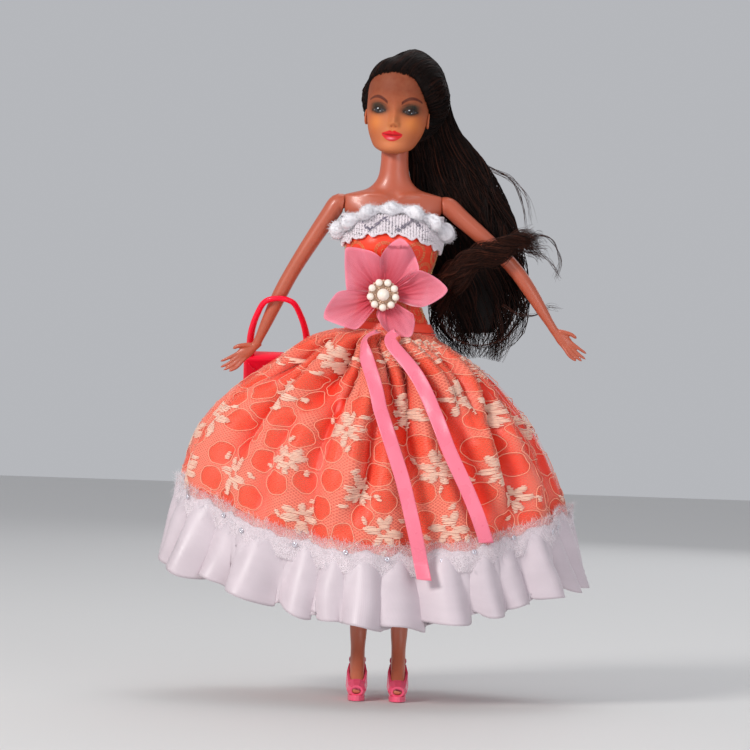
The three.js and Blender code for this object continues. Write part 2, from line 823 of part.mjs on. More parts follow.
function legSolid(side) {
  const hipX = side * (legInnerX + legHalfWidth);
  let solid = legLoft(side, 0).add(heelSolid(side, 0));
  // A round drum turns in the recess of the pelvis.
  const inner = side * legInnerX;
  const outer = side * (legInnerX + legHalfWidth * 1.6);
  const drum = new THREE.SphereGeometry(1, 16, 10);
  drum.scale(legHalfWidth * 1.25, hipDrumRadius, hipDrumRadius);
  drum.translate(hipX - side * legHalfWidth * 0.2, 0, hipHeight);
  solid = solid.add(toSolid(drum));
  solid = solid.intersect(boxSolid(
    new THREE.Vector3(Math.min(inner, outer * 2), -overrun * 2, -overrun),
    new THREE.Vector3(Math.max(inner, outer * 2), overrun, hipHeight + overrun),
  ));
  const bore = [side * (legInnerX - overrun), side * (axleHalfLength + fitGap)];
  return solid.subtract(crossBar(axleRadius + fitGap, Math.min(...bore), Math.max(...bore), 0, hipHeight));
}

function shoeSolid(side) {
  const x = side * (legInnerX + legHalfWidth * 0.65);
  let solid = legLoft(side, fitGap + shoeWall, ankleShare).add(heelSolid(side, fitGap + shoeWall));
  // Only the foot of that shape stays, below a throat line that falls from the heel to the toe box.
  const throat = new THREE.BoxGeometry(overrun, overrun * 2, hipHeight * 2);
  throat.translate(0, overrun, hipHeight);
  throat.rotateX(throatSlope * degrees);
  throat.translate(x, -ballForward * 1.08, soleThickness + footHalfWidth * 1.6);
  solid = solid.subtract(toSolid(throat));
  const soleShape = new THREE.Shape();
  soleShape.absellipse(0, 0, footHalfWidth * 1.1, (toeForward - ballForward) * 1.05, 0, 2 * Math.PI);
  const sole = new THREE.ExtrudeGeometry(soleShape, { depth: soleThickness, bevelEnabled: false, curveSegments: 10 });
  sole.translate(x, -ballForward - (toeForward - ballForward) * 0.22, 0);
  solid = solid.add(toSolid(mergedPositions(sole)));
  const heelRise = ankleHeight * 0.6;
  const heel = new THREE.CylinderGeometry(heelTopRadius, heelTipRadius, heelRise, 16);
  heel.rotateX(Math.PI / 2);
  heel.translate(x, footHalfWidth * 0.75, heelRise / 2);
  solid = solid.add(toSolid(heel));
  solid = solid.subtract(legLoft(side, fitGap, ankleShare)).subtract(heelSolid(side, fitGap));
  const floorCut = boxSolid(
    new THREE.Vector3(x - overrun, -overrun * 2, -overrun),
    new THREE.Vector3(x + overrun, overrun * 2, 0),
  );
  return solid.subtract(floorCut);
}

// The heights at which a garment bends with the torso, from its lower to its upper edge.
function torsoHeights(low, high) {
  const bends = torsoShares.map(([share]) => hipHeight + share * hipToShoulder);
  return [low, ...bends.filter((height) => height > low + fitGap && height < high - fitGap), high];
}

// Gown bodice, band and waistband follow the torso, open down the back where there is a slit.
function garmentSheet(low, high, inside, thickness, slit) {
  const columns = torsoSides;
  const grid = (offset) => torsoHeights(low, high).map((height) => {
    const line = [];
    const sideways = torsoSection(height).halfWidth;
    const gap = slit > 0 ? slit / 2 / sideways : 0;
    const count = slit > 0 ? columns : columns - 1;
    for (let k = 0; k <= count; k += 1) {
      const angle = slit > 0
        ? -Math.PI + gap + ((2 * Math.PI - 2 * gap) * k) / columns
        : -Math.PI + (2 * Math.PI * k) / columns;
      line.push(torsoPoint(angle, height, offset));
    }
    return line;
  });
  return sheetSolid(grid(inside + thickness), grid(inside), slit <= 0);
}

// Offsets from the body of each layer of the gown.
const bodiceInside = clothGap;
const bodiceOutside = bodiceInside + satinThickness;
const bandInside = bodiceOutside + clothGap;
const fastenerInside = bodiceOutside + clothGap;

function fastenerGeometry() {
  const low = seamHeight + waistbandHeight;
  const high = bodiceTopHeight - bandHeight - clothGap;
  const grid = (offset) => torsoHeights(low, high).map((height) => {
    const reach = fastenerWidth / 2 / torsoSection(height).halfWidth;
    return [-1, -0.33, 0.33, 1].map((place) => torsoPoint(Math.PI + place * reach, height, offset));
  });
  return sheetSolid(grid(fastenerInside + fastenerThickness), grid(fastenerInside), false);
}

function trimGeometry() {
  const puffCount = 15;
  const puffSteps = 4;
  const sides = 6;
  const steps = puffCount * puffSteps;
  const rings = [];
  for (let k = 0; k < steps; k += 1) {
    const angle = (k / steps) * 2 * Math.PI;
    const sideways = Math.sin(angle) ** 2;
    const atBack = Math.cos(angle) < 0 ? 1 : 0;
    const height = trimCrownHeight - trimSideDrop * (atBack ? 1 : sideways);
    const thin = 1 - 0.42 * Math.max(sideways ** 3, atBack * 0.7);
    const radius = trimRadius * thin * (0.88 + 0.12 * Math.cos((k / puffSteps) * 2 * Math.PI));
    const seat = height < bodiceTopHeight + radius ? bandInside + bandThickness : 0;
    const centre = torsoPoint(angle, height, seat + clothGap + radius);
    const outward = new THREE.Vector3(Math.sin(angle), -Math.cos(angle), 0);
    const ring = [];
    for (let n = 0; n < sides; n += 1) {
      const turn = (n / sides) * 2 * Math.PI;
      const point = centre.clone().addScaledVector(outward, radius * Math.cos(turn));
      point.z += radius * Math.sin(turn);
      ring.push(point);
    }
    rings.push(ring);
  }
  const points = rings.flat();
  const faces = [];
  for (let k = 0; k < steps; k += 1) {
    const next = (k + 1) % steps;
    for (let n = 0; n < sides; n += 1) {
      const m = (n + 1) % sides;
      const corners = [k * sides + n, next * sides + n, next * sides + m, k * sides + m];
      faces.push(corners[0], corners[1], corners[3], corners[1], corners[2], corners[3]);
    }
  }
  return facesToGeometry(points, faces);
}

// Skirt. Angle as on the torso, drop 0 at the seam and 1 at the hem.
const skirtTopInside = bodiceOutside + clothGap + satinThickness + layerThickness;
const flareShare = 0.4;
const skirtFoldCount = 11;
const skirtWaveCount = 7;
const ruffleFluteCount = 18;

function hemHeight(angle) {
  return hemFrontHeight + hemSideRise * Math.sin(angle) ** 2 - hemLeftDrop * Math.sin(angle);
}

// How far the skirt has spread from its seam to its full width.
function flareAt(drop) {
  return 1 - Math.max(1 - drop, 0) ** (1 / flareShare);
}

function skirtPoint(angle, drop) {
  const top = torsoPoint(angle, seamHeight, skirtTopInside);
  const flare = flareAt(drop);
  const wide = new THREE.Vector3(skirtHalfWidth * Math.sin(angle), -skirtHalfDepth * Math.cos(angle), 0);
  const point = top.clone().setZ(0).lerp(wide, flare);
  const fold = Math.cos(skirtFoldCount * angle + 0.6) + 0.35 * Math.cos(skirtWaveCount * angle + 1);
  const foldRise = foldDepth * Math.min(1, 4 * drop) * (0.4 + 0.6 * drop);
  const outward = new THREE.Vector3(Math.sin(angle), -Math.cos(angle), 0);
  point.addScaledVector(outward, fold * foldRise);
  const puffPlace = drop / 0.05;
  point.x -= skirtLean * flare * Math.min(1, drop * 3);
  point.x -= skirtPuff * puffPlace * Math.exp(1 - puffPlace);
  point.z = seamHeight - drop * (seamHeight - hemHeight(angle));
  return point;
}

// The flounce hangs from the hem: share 0 at its gathered top and 1 at its lower edge.
function rufflePoint(angle, share) {
  const hem = skirtPoint(angle, 1);
  const outward = new THREE.Vector3(Math.sin(angle), -Math.cos(angle), 0);
  const flute = Math.cos(ruffleFluteCount * angle) + 0.4 * Math.cos(skirtFoldCount * angle + 2);
  const out = ruffleFlare * share + fluteDepth * flute * share ** 0.7;
  hem.addScaledVector(outward, out);
  hem.z += ruffleOverlap - share * (ruffleDrop + ruffleOverlap);
  hem.z -= fluteDepth * 0.25 * flute * share;
  return hem;
}

// Moves a point on such a surface out along the surface's own normal.
function offPoint(surface, angle, drop, offset) {
  const nudge = 0.01;
  const here = surface(angle, drop);
  const alongAngle = surface(angle + nudge, drop).sub(here);
  const alongDrop = surface(angle, drop + nudge).sub(here);
  const normal = alongDrop.cross(alongAngle).normalize();
  return here.addScaledVector(normal, offset);
}

function drapedLayer(surface, columns, drops, inside, thickness) {
  const grid = (offset) => drops.map((drop) => {
    const line = [];
    for (let k = 0; k < columns; k += 1) {
      line.push(offPoint(surface, (k / columns) * 2 * Math.PI, drop, offset));
    }
    return line;
  });
  return sheetSolid(grid(inside + thickness), grid(inside), true);
}

// Flower, in shares of a long petal's reach: each petal's tip across and up from the middle of the brooch, its
// half width, and how far it stands forward.
const petalShares = [
  [-0.643, 0.679, 0.332, 0.179],
  [0.232, 0.821, 0.3, 0.179],
  [1.018, 0.143, 0.286, 0.214],
  [-0.914, -0.439, 0.268, 0.25],
  [0.214, -0.446, 0.232, 0.054],
];

function gownFront() {
  return torsoPoint(0, flowerHeight, bodiceOutside).y;
}

// Where the front of the dressed body lies at a place across and up.
function gownDepth(x, height) {
  const onBand = height > bodiceTopHeight - bandHeight - petalThickness;
  const outside = onBand ? bandInside + bandThickness : bodiceOutside;
  const reach = torsoSection(height).halfWidth + outside;
  const angle = Math.asin(THREE.MathUtils.clamp(x / reach, -1, 1));
  return torsoPoint(angle, height, outside).y;
}

function petalGeometry(shares, order) {
  const along = 5;
  const over = 4;
  const [tipAcross, tipUp, halfWidth, lift] = shares.map((share) => share * petalReach);
  const length = Math.hypot(tipAcross, tipUp);
  const way = new THREE.Vector3(tipAcross / length, 0, tipUp / length);
  const across = new THREE.Vector3(-way.z, 0, way.x);
  const base = gownFront() - clothGap - order * (petalThickness + fitGap);
  const grid = (offset) => {
    const lines = [];
    for (let k = 0; k <= along; k += 1) {
      const share = k / along;
      const reach = petalRoot + (length - petalRoot) * share;
      const width = halfWidth * (0.22 + 0.78 * Math.sin(Math.PI * Math.min(share * 0.62 + 0.04, 1)) ** 0.8)
        * Math.sqrt(1 - (share * 0.93) ** 6);
      const line = [];
      for (let n = 0; n <= over; n += 1) {
        const side = (2 * n) / over - 1;
        const point = new THREE.Vector3(flowerX, 0, flowerHeight);
        point.addScaledVector(way, reach);
        point.addScaledVector(across, side * width);
        const cup = lift * share ** 1.5 * 0.5 + lift * 0.3 * side * side * share;
        const clear = clothGap + order * (petalThickness + fitGap);
        point.y = Math.min(base - cup, gownDepth(point.x, point.z) - clear) - offset;
        line.push(point);
      }
      lines.push(line);
    }
    return lines;
  };
  return sheetSolid(grid(petalThickness), grid(0), false);
}

function broochFront() {
  return gownFront() - clothGap * 3 - petalShares.length * (petalThickness + fitGap) - broochThickness;
}

function ballGeometry(radius, centre, around, down) {
  const geometry = new THREE.SphereGeometry(radius, around, down);
  geometry.translate(centre.x, centre.y, centre.z);
  return mergedPositions(geometry);
}

// Ribbon routes over the front of the skirt: drop share, then turn round the skirt in degrees.
const ribbonRightShares = [[-0.01, -13], [0.12, -9], [0.28, -1.5], [0.58, 8], [0.85, 13.4], [1.07, 17]];
const ribbonLeftShares = [[-0.01, 9], [0.1, 16], [0.3, 22], [0.52, 25.6], [0.74, 31], [0.95, 36.5]];

function ribbonGeometry(routeShares) {
  const steps = 13;
  const first = routeShares[0][0];
  const last = routeShares[routeShares.length - 1][0];
  const lift = layerThickness * 2 + layerGap + clothGap;
  const centres = [];
  for (let k = 0; k <= steps; k += 1) {
    const drop = first + ((last - first) * k) / steps;
    const [turn] = tableRow(routeShares, drop);
    const angle = turn * degrees;
    const here = skirtPoint(angle, Math.max(drop, 0));
    const smooth = skirtFrontDepth(angle, Math.max(drop, 0));
    const past = Math.max(drop - 1, 0);
    const topLift = ribbonTopLift * Math.exp(-Math.max(drop, 0) / 0.12);
    here.y = smooth - lift - topLift - past * ruffleFlare * 12;
    centres.push(here);
  }
  const grid = (offset) => centres.map((centre, k) => {
    const from = centres[Math.max(k - 1, 0)];
    const to = centres[Math.min(k + 1, steps)];
    const along = to.clone().sub(from).normalize();
    const outward = new THREE.Vector3(1, 0, 0).cross(along).normalize();
    if (outward.y > 0) {
      outward.negate();
    }
    return [-1, 0, 1].map((side) => {
      const point = centre.clone().addScaledVector(outward, offset);
      point.x += (side * ribbonWidth) / 2;
      return point;
    });
  });
  return sheetSolid(grid(ribbonThickness), grid(0), false);
}

// The skirt's front without its folds.
function skirtFrontDepth(angle, drop) {
  const top = torsoPoint(angle, seamHeight, skirtTopInside);
  const rise = foldDepth * 1.35 * Math.min(1, 4 * drop) * (0.4 + 0.6 * drop);
  return THREE.MathUtils.lerp(top.y, -skirtHalfDepth * Math.cos(angle), flareAt(drop)) - rise;
}

// Handbag, in its own frame: origin at the top of the handle, hanging down -Z, its face to -Y.
function bagSolid() {
  const half = bagWidth / 2;
  const corner = bagWidth * 0.16;
  const low = -handleHeight - bagHeight;
  const shape = new THREE.Shape();
  shape.moveTo(-half * 0.86, -handleHeight);
  shape.lineTo(half * 0.86, -handleHeight);
  shape.lineTo(half, low + corner);
  shape.quadraticCurveTo(half, low, half - corner, low);
  shape.lineTo(-half + corner, low);
  shape.quadraticCurveTo(-half, low, -half, low + corner);
  shape.closePath();
  const bevel = bagThickness * 0.22;
  const body = new THREE.ExtrudeGeometry(shape, {
    depth: bagThickness - 2 * bevel,
    bevelThickness: bevel,
    bevelSize: bevel,
    bevelOffset: -bevel,
    bevelSegments: 1,
    curveSegments: 5,
  });
  body.rotateX(Math.PI / 2);
  body.translate(0, bagThickness / 2 - bevel, 0);
  let solid = toSolid(facingOut(mergedPositions(body)));
  const foot = half * 0.8;
  const points = [
    new THREE.Vector3(-foot, 0, -handleHeight - bevel * 2),
    new THREE.Vector3(-foot * 0.98, 0, -handleHeight * 0.8),
    new THREE.Vector3(-foot * 0.78, 0, -handleHeight * 0.34),
    new THREE.Vector3(-foot * 0.46, 0, -handleTopRadius * 2.6),
    new THREE.Vector3(0, 0, -handleTopRadius),
    new THREE.Vector3(foot * 0.46, 0, -handleTopRadius * 2.6),
    new THREE.Vector3(foot * 0.78, 0, -handleHeight * 0.34),
    new THREE.Vector3(foot * 0.98, 0, -handleHeight * 0.8),
    new THREE.Vector3(foot, 0, -handleHeight - bevel * 2),
  ];
  const curve = new THREE.CatmullRomCurve3(points, false, 'centripetal');
  const stations = heightsBetween(0, 1, 18).map((share) => {
    const thick = THREE.MathUtils.lerp(handleTopRadius, handleFootRadius, Math.abs(2 * share - 1) ** 1.5);
    return [share, handleTopRadius, thick];
  });
  solid = solid.add(toSolid(loftAlong(curve, new THREE.Vector3(0, 1, 0), stations, 8)));
  return solid;
}

// The smallest backward tilt, in whole degrees, at which the hanging bag is clear of the skirt.
function restingTilt(bagShape, hookPoint) {
  const clear = 2 * (layerThickness + layerGap) + clothGap;
  const room = toSolid(ringSolid(skirtDropShares.map((drop) => {
    const ring = [];
    for (let k = 0; k < skirtSides; k += 1) {
      ring.push(offPoint(skirtPoint, (k / skirtSides) * 2 * Math.PI, drop, clear));
    }
    return ring;
  })));
  let tilt = 0;
  while (tilt < 90 && hangingAt(bagShape, hookPoint, tilt).intersect(room).volume() > 0) {
    tilt += 1;
  }
  return tilt;
}

function hangingAt(bagShape, hookPoint, tilt) {
  return bagShape.rotate([tilt, 0, 0]).translate([hookPoint.x, hookPoint.y, hookPoint.z]);
}

// Materials.
function material(color, roughness, metalness = 0) {
  return new THREE.MeshStandardMaterial({ color, roughness, metalness, side: THREE.DoubleSide });
}
const skin = material(0xd08868, 0.28);
const vinylSkin = material(0xd89070, 0.42);
const hairBrown = material(0x1c1210, 0.4);
const coralSatin = material(0xf5684a, 0.42);
const coralLace = material(0xf8b49c, 0.8);
const whiteSatin = material(0xf2eef4, 0.5);
const whiteKnit = material(0xf0edf2, 0.85);
const whiteFluff = material(0xfbfbfd, 0.95);
const organza = material(0xf48aa0, 0.55);
const pinkSatin = material(0xf0708c, 0.4);
const pearl = material(0xf3e6dc, 0.2);
const gold = material(0xc9a050, 0.3, 1);
const bagPlastic = material(0xf01c4c, 0.22);
const hookTape = material(0xf4efe9, 0.9);
const nylon = material(0xe8e4dc, 0.5);

const doll = new THREE.Group();
doll.position.z = -waistHeight;

function place(parent, name, geometry, look) {
  const mesh = new THREE.Mesh(geometry, look);
  mesh.name = name;
  parent.add(mesh);
  return mesh;
}

// Body.
const halves = torsoHalves();
place(doll, 'torso_front', toGeometry(halves.front), skin);
place(doll, 'torso_back', toGeometry(halves.back), skin);
const axle = new THREE.CylinderGeometry(axleRadius, axleRadius, axleHalfLength * 2, 20);
axle.rotateZ(Math.PI / 2);
axle.translate(0, 0, hipHeight);
place(doll, 'hip_axle', mergedPositions(axle), nylon);

// The head sits a little turned and tilted on the knob.
const headTurn = -7;
const headTilt = 2.9;
const headGroup = new THREE.Group();
headGroup.position.z = knobCentreHeight;
headGroup.rotation.set(0, headTilt * degrees, headTurn * degrees);
doll.add(headGroup);
for (const [name, solid, look] of [
  ['head', headSolid(), vinylSkin],
  ['hair_cap', hairCapSolid(), hairBrown],
]) {
  const geometry = toGeometry(solid);
  geometry.translate(0, 0, -knobCentreHeight);
  place(headGroup, name, geometry, look);
}

// Arms: her right one hangs a little back and carries the bag. Upper arm, forearm and hand tilt in degrees.
const rightArmBack = 8;
const rightArmTilts = [55.5, 66, 39];
const leftArmTilts = [39, 55, 46];
const rightRoute = armRoute(-1, ...rightArmTilts);
const leftRoute = armRoute(1, ...leftArmTilts);
const rightArmGroup = new THREE.Group();
rightArmGroup.position.z = shoulderHeight;
rightArmGroup.rotation.x = rightArmBack * degrees;
doll.add(rightArmGroup);
const rightArm = toGeometry(armSolid(rightRoute));
rightArm.translate(0, 0, -shoulderHeight);
place(rightArmGroup, 'arm_right', rightArm, skin);
place(doll, 'arm_left', toGeometry(armSolid(leftRoute)), skin);

place(doll, 'hair_fall', hairFallGeometry(), hairBrown);
place(doll, 'hair_tress', hairTressGeometry(leftRoute.elbow), hairBrown);

for (const [name, side] of [['right', -1], ['left', 1]]) {
  place(doll, `leg_${name}`, toGeometry(legSolid(side)), vinylSkin);
  place(doll, `shoe_${name}`, toGeometry(shoeSolid(side)), pinkSatin);
}

// Gown.
const waistbandInside = bodiceOutside + clothGap;
place(doll, 'bodice', garmentSheet(
  seamHeight - waistbandHeight,
  bodiceTopHeight,
  bodiceInside,
  satinThickness,
  backSlit,
), coralSatin);
place(doll, 'back_fastener', fastenerGeometry(), hookTape);
place(doll, 'lace_band', garmentSheet(
  bodiceTopHeight - bandHeight,
  bodiceTopHeight,
  bandInside,
  bandThickness,
  0,
), whiteKnit);
place(doll, 'fur_trim', trimGeometry(), whiteFluff);
place(doll, 'waistband', garmentSheet(
  seamHeight + fitGap,
  seamHeight + waistbandHeight - clothGap,
  waistbandInside,
  satinThickness,
  0,
), coralSatin);
const skirtSides = 55;
const skirtDropShares = [0, 0.06, 0.17, 0.35, 0.64, 1];
const overskirtInside = layerThickness + layerGap;
const overskirtOutside = overskirtInside + layerThickness;
place(doll, 'underskirt', drapedLayer(skirtPoint, skirtSides, skirtDropShares, 0, layerThickness), coralSatin);
place(doll, 'lace_overskirt', drapedLayer(
  skirtPoint,
  skirtSides,
  skirtDropShares,
  overskirtInside,
  layerThickness,
), coralLace);
const ruffleSides = 90;
const ruffleDropShares = [0, 0.3, 0.65, 1];
place(doll, 'hem_ruffle', drapedLayer(
  rufflePoint,
  ruffleSides,
  ruffleDropShares,
  overskirtOutside + layerGap + fitGap,
  layerThickness,
), whiteSatin);

// Flower and brooch.
petalShares.forEach((shares, k) => {
  place(doll, `petal_${k + 1}`, petalGeometry(shares, k), organza);
});
const settingFront = broochFront();
const setting = new THREE.CylinderGeometry(broochRadius, broochRadius, broochThickness, 36);
setting.translate(flowerX, settingFront + broochThickness / 2, flowerHeight);
place(doll, 'brooch_setting', mergedPositions(setting), gold);
const pearlPlace = (radius, out, turn) => new THREE.Vector3(
  flowerX + out * Math.sin(turn),
  settingFront - fitGap - radius,
  flowerHeight + out * Math.cos(turn),
);
place(doll, 'centre_pearl', ballGeometry(
  centrePearlRadius,
  pearlPlace(centrePearlRadius, 0, 0),
  10,
  8,
), pearl);
const ringPearlCount = 9;
for (let k = 0; k < ringPearlCount; k += 1) {
  const centre = pearlPlace(ringPearlRadius, ringRadius, ((k + 0.5) / ringPearlCount) * 2 * Math.PI);
  place(doll, `ring_pearl_${k + 1}`, ballGeometry(ringPearlRadius, centre, 7, 6), pearl);
}
place(doll, 'ribbon_right', ribbonGeometry(ribbonRightShares), pinkSatin);
place(doll, 'ribbon_left', ribbonGeometry(ribbonLeftShares), pinkSatin);

// The handbag hangs in front of the forearm, and tips back until it lies clear on the skirt behind her.
const hookShare = 0.27;
const hook = rightRoute.elbow.clone().lerp(rightRoute.wrist, hookShare);
hook.z -= shoulderHeight;
hook.applyAxisAngle(new THREE.Vector3(1, 0, 0), rightArmBack * degrees);
hook.z += shoulderHeight;
hook.y -= elbowRadius * 1.34 + handleTopRadius + fitGap;
const bagSolidShape = bagSolid();
const bag = place(doll, 'handbag', toGeometry(bagSolidShape), bagPlastic);
bag.position.copy(hook);
bag.rotation.x = restingTilt(bagSolidShape, hook) * degrees;

export default doll;
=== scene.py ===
import math

import bpy
import numpy as np
from mathutils import Matrix, Vector
from mathutils.bvhtree import BVHTree


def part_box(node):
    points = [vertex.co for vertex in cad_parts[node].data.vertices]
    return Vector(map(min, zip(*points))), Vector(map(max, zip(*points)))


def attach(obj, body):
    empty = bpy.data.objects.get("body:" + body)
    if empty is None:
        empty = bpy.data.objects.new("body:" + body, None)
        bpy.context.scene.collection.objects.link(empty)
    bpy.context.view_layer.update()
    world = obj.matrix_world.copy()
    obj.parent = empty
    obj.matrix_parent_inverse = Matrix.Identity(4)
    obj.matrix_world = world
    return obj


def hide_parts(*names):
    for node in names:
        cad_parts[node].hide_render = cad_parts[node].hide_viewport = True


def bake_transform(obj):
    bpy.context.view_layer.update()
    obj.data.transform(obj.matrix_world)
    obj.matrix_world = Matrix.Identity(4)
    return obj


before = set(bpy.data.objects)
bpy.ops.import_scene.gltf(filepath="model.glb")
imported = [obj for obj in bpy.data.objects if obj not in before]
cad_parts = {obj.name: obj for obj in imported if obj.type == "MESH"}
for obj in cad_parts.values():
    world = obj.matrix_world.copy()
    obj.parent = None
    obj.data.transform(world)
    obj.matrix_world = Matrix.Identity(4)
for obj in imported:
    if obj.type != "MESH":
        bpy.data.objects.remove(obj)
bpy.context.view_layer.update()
rng = np.random.default_rng(11)

# Every shape below is made in millimetres, with z the height above the soles of her shoes.
WAIST = 174.0
MM = 0.001


def to_frame(points):
    moved = np.asarray(points, float).reshape(-1, 3).copy()
    moved[:, 2] -= WAIST
    return moved * MM


# Mesh helpers.


def circle(count):
    """The angles of evenly spaced points round a full turn."""
    return np.arange(count) / count * 2 * math.pi


def unit(vectors):
    return vectors / np.maximum(np.linalg.norm(vectors, axis=-1, keepdims=True), 1e-9)


def tipped(points, angle):
    """Points turned about the X axis."""
    x, y, z = np.moveaxis(points, -1, 0)
    return np.stack([x, y * math.cos(angle) - z * math.sin(angle), y * math.sin(angle) + z * math.cos(angle)], -1)


def grid_faces(rows, columns, wraps=False, start=0, flip=False):
    """Quads between the points of a grid that is stored row by row."""
    spans = columns if wraps else columns - 1
    row, column = np.meshgrid(np.arange(rows - 1), np.arange(spans), indexing="ij")
    a = row * columns + column
    b = row * columns + (column + 1) % columns
    quads = np.stack([a, b, b + columns, a + columns], -1).reshape(-1, 4) + start
    return quads[:, ::-1] if flip else quads


def tube_faces(rings, sides):
    """Quads between rings stored one after the other, and triangles to the two end points stored after them."""
    k = np.arange(sides)
    n = (k + 1) % sides
    last, ends = (rings - 1) * sides, rings * sides
    caps = [np.stack([n, k, np.full(sides, ends)], -1), np.stack([k + last, n + last, np.full(sides, ends + 1)], -1)]
    return [grid_faces(rings, sides, True), np.concatenate(caps)]


def loop_faces(rings, sides):
    """Quads between rings of which the last joins the first."""
    k = np.arange(sides)
    n = (k + 1) % sides
    last = (rings - 1) * sides
    return np.concatenate([grid_faces(rings, sides, True), np.stack([k + last, n + last, n, k], -1)])


def piece(name, points, faces, material, body, slot=None, replaces=(), tint=None, fabric=None):
    """A mesh object from points in millimetres and lists of quads or triangles, riding on a body."""
    groups = [np.asarray(f, np.int64) for f in (faces if isinstance(faces, list) else [faces])]
    loops = np.concatenate([f.ravel() for f in groups])
    counts = np.concatenate([np.full(len(f), f.shape[1]) for f in groups])
    mesh = bpy.data.meshes.new(name)
    where = to_frame(points)
    mesh.vertices.add(len(where))
    mesh.vertices.foreach_set("co", where.astype(np.float32).ravel())
    mesh.loops.add(len(loops))
    mesh.loops.foreach_set("vertex_index", loops.astype(np.int32))
    mesh.polygons.add(len(counts))
    mesh.polygons.foreach_set("loop_start", (np.cumsum(counts) - counts).astype(np.int32))
    mesh.update(calc_edges=True)
    mesh.validate()
    mesh.polygons.foreach_set("use_smooth", np.ones(len(mesh.polygons), bool))
    if tint is not None:
        colours = np.ones((len(where), 4), np.float32)
        colours[:, :3] = tint
        layer = mesh.color_attributes.new("tint", "FLOAT_COLOR", "POINT")
        layer.data.foreach_set("color", colours.ravel())
    if fabric is not None:
        layer = mesh.attributes.new("fabric", "FLOAT_VECTOR", "POINT")
        layer.data.foreach_set("vector", np.asarray(fabric, np.float32).ravel())
    mesh.materials.append(material)
    obj = bpy.data.objects.new(name, mesh)
    bpy.context.scene.collection.objects.link(obj)
    if body:
        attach(obj, body)
    if replaces:
        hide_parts(*replaces)
    return obj


def repainted(node, finish):
    """A CAD node that shows as it is, with a material of its own."""
    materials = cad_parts[node].data.materials
    materials.clear()
    materials.append(finish.material)


def both_faces(values):
    """Values on a grid, once for each face of a closed sheet."""
    return np.concatenate([values.reshape(-1, 3)] * 2)


def cloth_places(across, along):
    """The cloth's own coordinates in millimetres, for both faces of a sheet."""
    across, along = np.broadcast_arrays(across, along)
    return both_faces(np.stack([across, along, np.zeros(across.shape)], -1))


# A reference for tubes, a little off the vertical, for threads that run level.
UPRIGHT = (0.01, 0.01, 1)


def closed_sheet(outer, inner, wraps=False):
    """Points and quads of a sheet with two faces and a rim, from two grids of the same size."""
    rows, columns = outer.shape[:2]
    count = rows * columns
    points = np.concatenate([outer.reshape(-1, 3), inner.reshape(-1, 3)])
    faces = [grid_faces(rows, columns, wraps), grid_faces(rows, columns, wraps, count, True)]
    spans = np.arange(columns if wraps else columns - 1)
    after = (spans + 1) % columns
    last = (rows - 1) * columns
    faces.append(np.stack([after, spans, spans + count, after + count], -1))
    faces.append(np.stack([spans + last, after + last, after + last + count, spans + last + count], -1))
    if not wraps:
        down = np.arange(rows - 1) * columns
        faces.append(np.stack([down, down + columns, down + columns + count, down + count], -1))
        right = down + columns - 1
        faces.append(np.stack([right + columns, right, right + count, right + columns + count], -1))
    return points, np.concatenate(faces)


def tubes(paths, radii, sides=3, flat=1.0, reference=(0, 1, 0)):
    """Closed tubes along many paths at once. paths is (tubes, points, 3) and radii (tubes, points)."""
    paths = np.asarray(paths, float)
    count, steps = paths.shape[:2]
    radii = np.broadcast_to(np.asarray(radii, float), (count, steps))
    along = unit(np.gradient(paths, axis=1))
    side = unit(np.cross(along, np.asarray(reference, float)))
    up = np.cross(side, along)
    turn = circle(sides)
    ring = (side[:, :, None] * np.cos(turn)[None, None, :, None]
            + flat * up[:, :, None] * np.sin(turn)[None, None, :, None])
    body = paths[:, :, None] + ring * radii[:, :, None, None]
    tips = np.stack([paths[:, 0] - along[:, 0] * radii[:, :1], paths[:, -1] + along[:, -1] * radii[:, -1:]], 1)
    points = np.concatenate([body.reshape(count, -1, 3), tips], 1)
    shift = (np.arange(count) * points.shape[1])[:, None, None]
    return points.reshape(-1, 3), [(group[None] + shift).reshape(-1, group.shape[1])
                                   for group in tube_faces(steps, sides)]


def joined(parts):
    """One set of points and faces from several (points, faces) pairs."""
    points, quads, triangles, start = [], [], [], 0
    for some, faces in parts:
        points.append(some)
        for group in faces if isinstance(faces, list) else [faces]:
            (quads if group.shape[1] == 4 else triangles).append(group + start)
        start += len(some)
    groups = [np.concatenate(g) for g in (quads, triangles) if g]
    return np.concatenate(points), groups


def lathe(profile, sides, centre):
    """A closed turned shape about a line along Y, from rows of [radius, place]."""
    turn = circle(sides)
    rings = [np.stack([r * np.cos(turn), np.full(sides, y), r * np.sin(turn)], -1) for r, y in profile]
    points = np.concatenate([*rings, [[0, profile[0][1], 0], [0, profile[-1][1], 0]]])
    return points + np.asarray(centre, float), tube_faces(len(profile), sides)


def table(rows, place):
    """Smooth values between the rows of a table whose first column rises."""
    rows = np.asarray(rows, float)
    place = np.asarray(place, float)
    count = len(rows)
    k = np.searchsorted(rows[1:-1, 0], place, side="left")
    start, end = rows[k], rows[k + 1]
    before, after = rows[np.maximum(k - 1, 0)], rows[np.minimum(k + 2, count - 1)]
    span = end[..., :1] - start[..., :1]
    t = np.clip((place[..., None] - start[..., :1]) / span, 0, 1)
    rise = (end - before) / (end[..., :1] - before[..., :1])
    fall = (after - start) / (after[..., :1] - start[..., :1])
    value = (start * (2 * t ** 3 - 3 * t ** 2 + 1) + rise * span * (t ** 3 - 2 * t ** 2 + t)
             + end * (3 * t ** 2 - 2 * t ** 3) + fall * span * (t ** 3 - t ** 2))
    return value[..., 1:]


